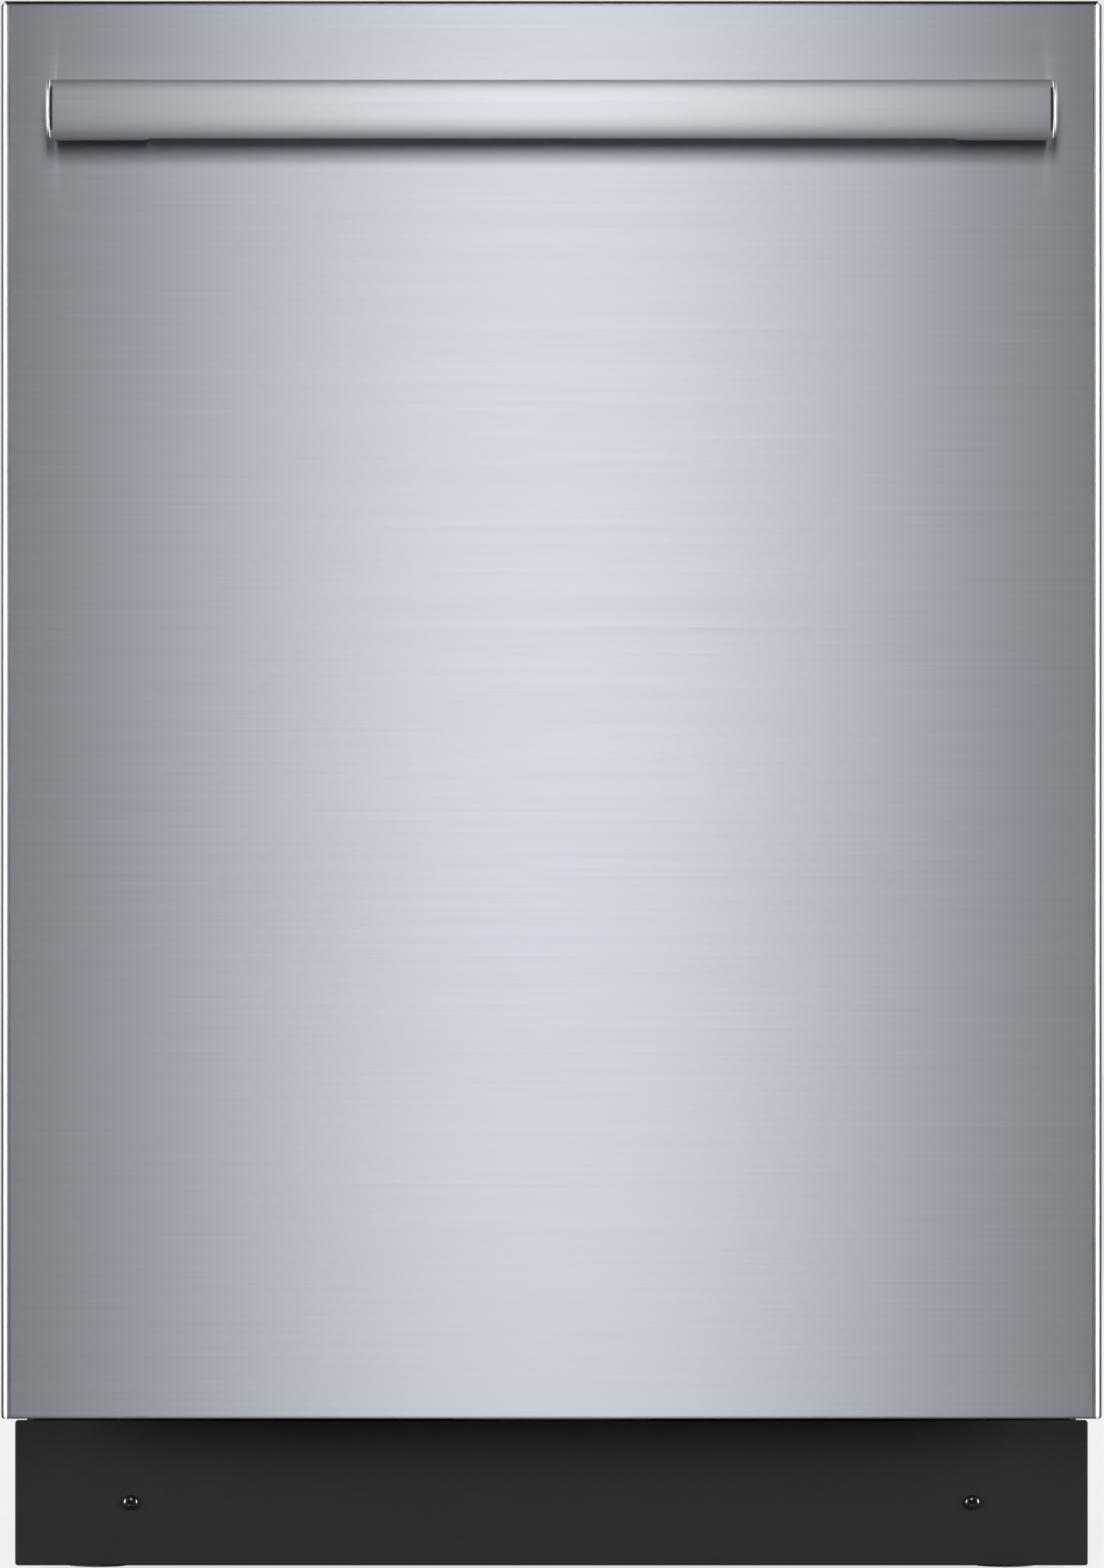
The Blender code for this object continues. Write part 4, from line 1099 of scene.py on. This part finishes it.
def wheel_mount(row, word, side, floor_z):
    """The hanger that a wheel's axle sticks out of, and the axle with its end stop."""
    low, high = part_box(f"rack_wheel_{row}_{word}")
    y, z = (low.y + high.y) / 2, (low.z + high.z) / 2
    outline = rounded(y - 0.009, y + 0.009, z - 0.007, floor_z + 0.006, 0.004)
    rings = [at_x(outline, side * reach) for reach in (0.2482, 0.2490, 0.2512, 0.2520)]
    grey_piece(loft(f"wheel_hanger_{row}_{word}", rings, 40), "lower_basket")
    root, length, pin, stop = 0.2515, 0.0170, 0.0030, 0.0042
    profile = [(0, 0), (pin, 0), (pin, 0.0155), (stop, 0.0158), (stop, length), (0, length)]
    if side < 0:
        profile = [(radius, length - along) for radius, along in reversed(profile)]
    start = root if side > 0 else -root - length
    grey_piece(lathe(f"wheel_axle_{row}_{word}", profile, (start, y, z), "X", 24), "lower_basket")


def wheel(row, word):
    """A moulded wheel with a crowned tread, a thin web with spokes, and a hub."""
    node = f"rack_wheel_{row}_{word}"
    low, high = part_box(node)
    radius, wide = (high.z - low.z) / 2, high.x - low.x
    centre = (low.x, (low.y + high.y) / 2, (low.z + high.z) / 2)
    bore, hub, web = 0.0045, 0.0066, 0.0068
    face = [(bore, 0), (hub, 0), (web, wide * 0.32), (radius - 0.0034, wide * 0.32)]
    face += [(radius - 0.0030, 0.0006), (radius - 0.0008, 0.0002), (radius - 0.0001, wide * 0.25)]
    profile = face + [(radius, wide * 0.5)] + [(r, wide - along) for r, along in reversed(face)]
    made = lathe(f"wheel_{row}_{word}", profile, centre, "X")
    for k in range(6):
        spoke_low, spoke_high = (0.0006, -0.0009, 0.0060), (wide - 0.0006, 0.0009, radius - 0.0028)
        spoke = block(f"spoke_{k}", spoke_low, spoke_high, 0.0003)
        spoke.data.transform(Matrix.Translation(centre) @ Matrix.Rotation(math.pi / 3 * k, 4, "X"))
        boolean(made, spoke, "UNION")
    grey_piece(made, f"{row}_wheel_{word}", node)


def fold_down_tines():
    """A row of tines on the axle wire that they fold about."""
    low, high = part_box("fold_down_tines")
    y, z = (low.y + high.y) / 2, low.z + 0.00175
    routes = [[(low.x, y, z), (high.x, y, z)]]
    for x in spaced(low.x + 0.010, high.x - 0.010, 11):
        routes.append([(x, y, z), (x, y, high.z - 0.0005)])
    nylon_wires("folding_tines", routes, 0.0016, "tines", 2, "fold_down_tines")


def silverware():
    """A moulded lattice basket in three cells, with a carrying arch."""
    low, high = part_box("silverware_basket")
    skin, corner, body = 0.0014, 0.008, "cutlery_basket"
    x0, x1, y0, y1 = low.x + skin, high.x - skin, low.y + skin, high.y - skin
    z0, z1 = low.z + 0.002, high.z - 0.002
    waist = z0 + 0.030
    cells = spaced(y0, y1, 4)
    rims = [loop_route(x0, x1, y0, y1, z, corner) for z in (z1, waist)]
    rims += [[(x0, y, z), (x1, y, z)] for y in cells[1:-1] for z in (z1, waist)]
    grey_piece(wires("cutlery_basket_rims", rims, 0.0019), body, "silverware_basket")
    bars = [[(x, y, z0), (x, y, z1)] for y in spaced(y0 + 0.010, y1 - 0.010, 24) for x in (x0, x1)]
    bars += [[(x, y, z0), (x, y, z1)] for x in spaced(x0 + 0.010, x1 - 0.010, 8) for y in cells]
    bars += [loop_route(x0, x1, y0, y1, z, corner) for z in spaced(z0 + 0.052, z1 - 0.022, 3)]
    grey_piece(wires("cutlery_basket_lattice", bars, 0.0012, 1), body)
    floor_bars = [[(x0, y, z0), (x1, y, z0)] for y in spaced(y0 + 0.004, y1 - 0.004, 30)]
    floor_bars += [[(x, y0, z0), (x, y1, z0)] for x in spaced(x0 + 0.003, x1 - 0.003, 9)]
    grey_piece(wires("cutlery_basket_floor", floor_bars, 0.0013, 1), body)
    x, front, rear, lean, grip = (x0 + x1) / 2, cells[1], cells[2], 0.006, z1 + 0.034
    arch = fillet([(x, front, z1), (x, front + lean, grip), (x, rear - lean, grip), (x, rear, z1)], 0.016)
    grey_piece(wires("cutlery_basket_arch", [arch], 0.0032), body)


def upper_rack():
    """A wire basket with a raised floor for cups, its runners, and the pipe that feeds its spray arm."""
    floor_z = 0.478
    rack = Rack("upper_rack", "upper_basket", 0.242, 0.246, floor_z, 0.0023, 0.0015)
    rack.hoops((0.520, 0.556))
    grid = []
    for x in spaced(-rack.x + 0.028, rack.x - 0.028, 13):
        peak = rack.floor + (0.012 if abs(x) > 0.06 else 0.004)
        grid.append(rack.lengthways(x, (x, -0.06, peak), (x, 0.11, peak)))
    rack.wire_in("grid", grid + rack.crossways(10, rack.floor))
    tines = []
    for x in (-0.150, -0.060, 0.060, 0.150):
        for y in spaced(-0.170, 0.215, 11):
            tines.append([(x, y, rack.floor), (x + math.copysign(0.003, x), y, rack.floor + 0.052)])
    rack.wire_in("tines", tines)
    low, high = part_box("upper_rail_slide_right")
    for word, side in SIDES:
        a, b = sorted((side * (rack.x + 0.001), side * 0.2598))
        runner_low, runner_high = (a, rack.y0, low.z + 0.001), (b, rack.y1, high.z - 0.001)
        grey_piece(block(f"rack_runner_{word}", runner_low, runner_high, 0.002), rack.body)
    low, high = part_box("upper_rack")
    pipe_low, pipe_high = (-0.0100, SPRAY_Y - 0.020, low.z), (0.0100, high.y, floor_z - 0.0003)
    grey_piece(block("upper_arm_feed_pipe", pipe_low, pipe_high, 0.0035, 4), rack.body)


def cutlery_tray():
    """A shallow tray of fine wires with rows of combs, and the runners that it slides on."""
    low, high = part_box("cutlery_tray")
    thick, thin, corner, bend, body = 0.0020, 0.0012, 0.022, 0.006, "third_rack"
    x1 = 0.240 - thick
    y0, y1 = low.y + thick, high.y - thick
    top, floor_z = high.z - thick, low.z + thick
    rims = [loop_route(-x1, x1, y0, y1, z, corner) for z in (top, floor_z)]
    grid = []
    for x in spaced(-x1 + 0.016, x1 - 0.016, 27):
        grid.append(fillet([(x, y0, top), (x, y0, floor_z), (x, y1, floor_z), (x, y1, top)], bend))
    for y in spaced(y0 + 0.030, y1 - 0.030, 9):
        grid.append(fillet([(-x1, y, top), (-x1, y, floor_z), (x1, y, floor_z), (x1, y, top)], bend))
    combs = []
    for y in (-0.120, -0.020, 0.080, 0.180):
        for x in spaced(-0.215, 0.215, 22):
            combs.append([(x, y, floor_z), (x, y, floor_z + 0.020)])
    nylon_wires("tray_rims", rims, thick, body, 3, "cutlery_tray")
    nylon_wires("tray_grid", grid, thin, body, 2)
    nylon_wires("tray_combs", combs, thin, body, 1)
    for word, side in SIDES:
        a, b = sorted((side * (x1 + 0.001), side * high.x))
        runner_low, runner_high = (a, y0, TRAY_RAIL_Z + 0.0005), (b, y1, TRAY_RAIL_Z + 0.0055)
        grey_piece(block(f"tray_runner_{word}", runner_low, runner_high, 0.0015), body)


def spray_arm(word, blade, bottom, thick):
    """A moulded arm: crowned blades that taper to round tips, a turned hub, and a row of jets."""
    node, body = f"{word}_spray_arm", f"{word}_arm"
    low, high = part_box(node)
    reach = high.x
    rings = []
    steps, around = 44, 20
    for i in range(steps + 1):
        s = -1 + 2 * i / steps
        taper = math.sqrt(max(0.0, 1 - abs(s) ** 7))
        half = (blade / 2) * (1 - 0.30 * abs(s)) * max(taper, 0.05)
        tall = thick * (1 - 0.18 * abs(s)) * max(taper, 0.12)
        ring = []
        for k in range(around):
            c, n = math.cos(2 * math.pi * k / around), math.sin(2 * math.pi * k / around)
            y = SPRAY_Y + half * math.copysign(abs(c) ** 0.8, c)
            z = bottom + thick / 2 + tall / 2 * math.copysign(abs(n) ** 0.7, n)
            ring.append((s * reach, y, z))
        rings.append(ring)
    arm = loft(f"{node}_blade", rings, 60)
    hub, ease = 0.0200, 0.002
    half_profile = [(0, low.z), (hub - ease, low.z), (hub, low.z + ease)]
    profile = half_profile + [(hub, high.z - ease), (hub - ease, high.z), (0, high.z)]
    boolean(arm, lathe("hub", profile, (0, SPRAY_Y, 0), "Z", 40), "UNION", 40)
    grey_piece(arm, body, node)
    profile = [(0.0010, -0.0035), (0.0034, -0.0035), (0.0030, 0.0006), (0.0016, 0.0006), (0.0010, 0.0)]
    for k, share in enumerate((-0.88, -0.68, -0.48, -0.30, 0.34, 0.52, 0.72, 0.90)):
        offset = 0.006 * (-1 if k % 2 else 1)
        place = (share * reach, SPRAY_Y + offset, bottom + thick - 0.0012)
        jet = lathe(f"{node}_jet_{k + 1}", profile, place, "Z", 20)
        add(jet, body, "black", "black_plastic")


def main():
    camera()
    floor()
    studio()
    door_front()
    handle()
    liner()
    dispenser()
    control_strip()
    hinges()
    toe_panel()
    tub()
    gasket()
    fittings()
    for word, _ in SIDES:
        spring(word)
    blankets()
    lower_rack()
    fold_down_tines()
    silverware()
    upper_rack()
    cutlery_tray()
    spray_arm("lower", 0.040, 0.158, 0.0095)
    spray_arm("upper", 0.036, 0.456, 0.0095)
    spray_arm("top", 0.034, 0.796, 0.0078)


main()
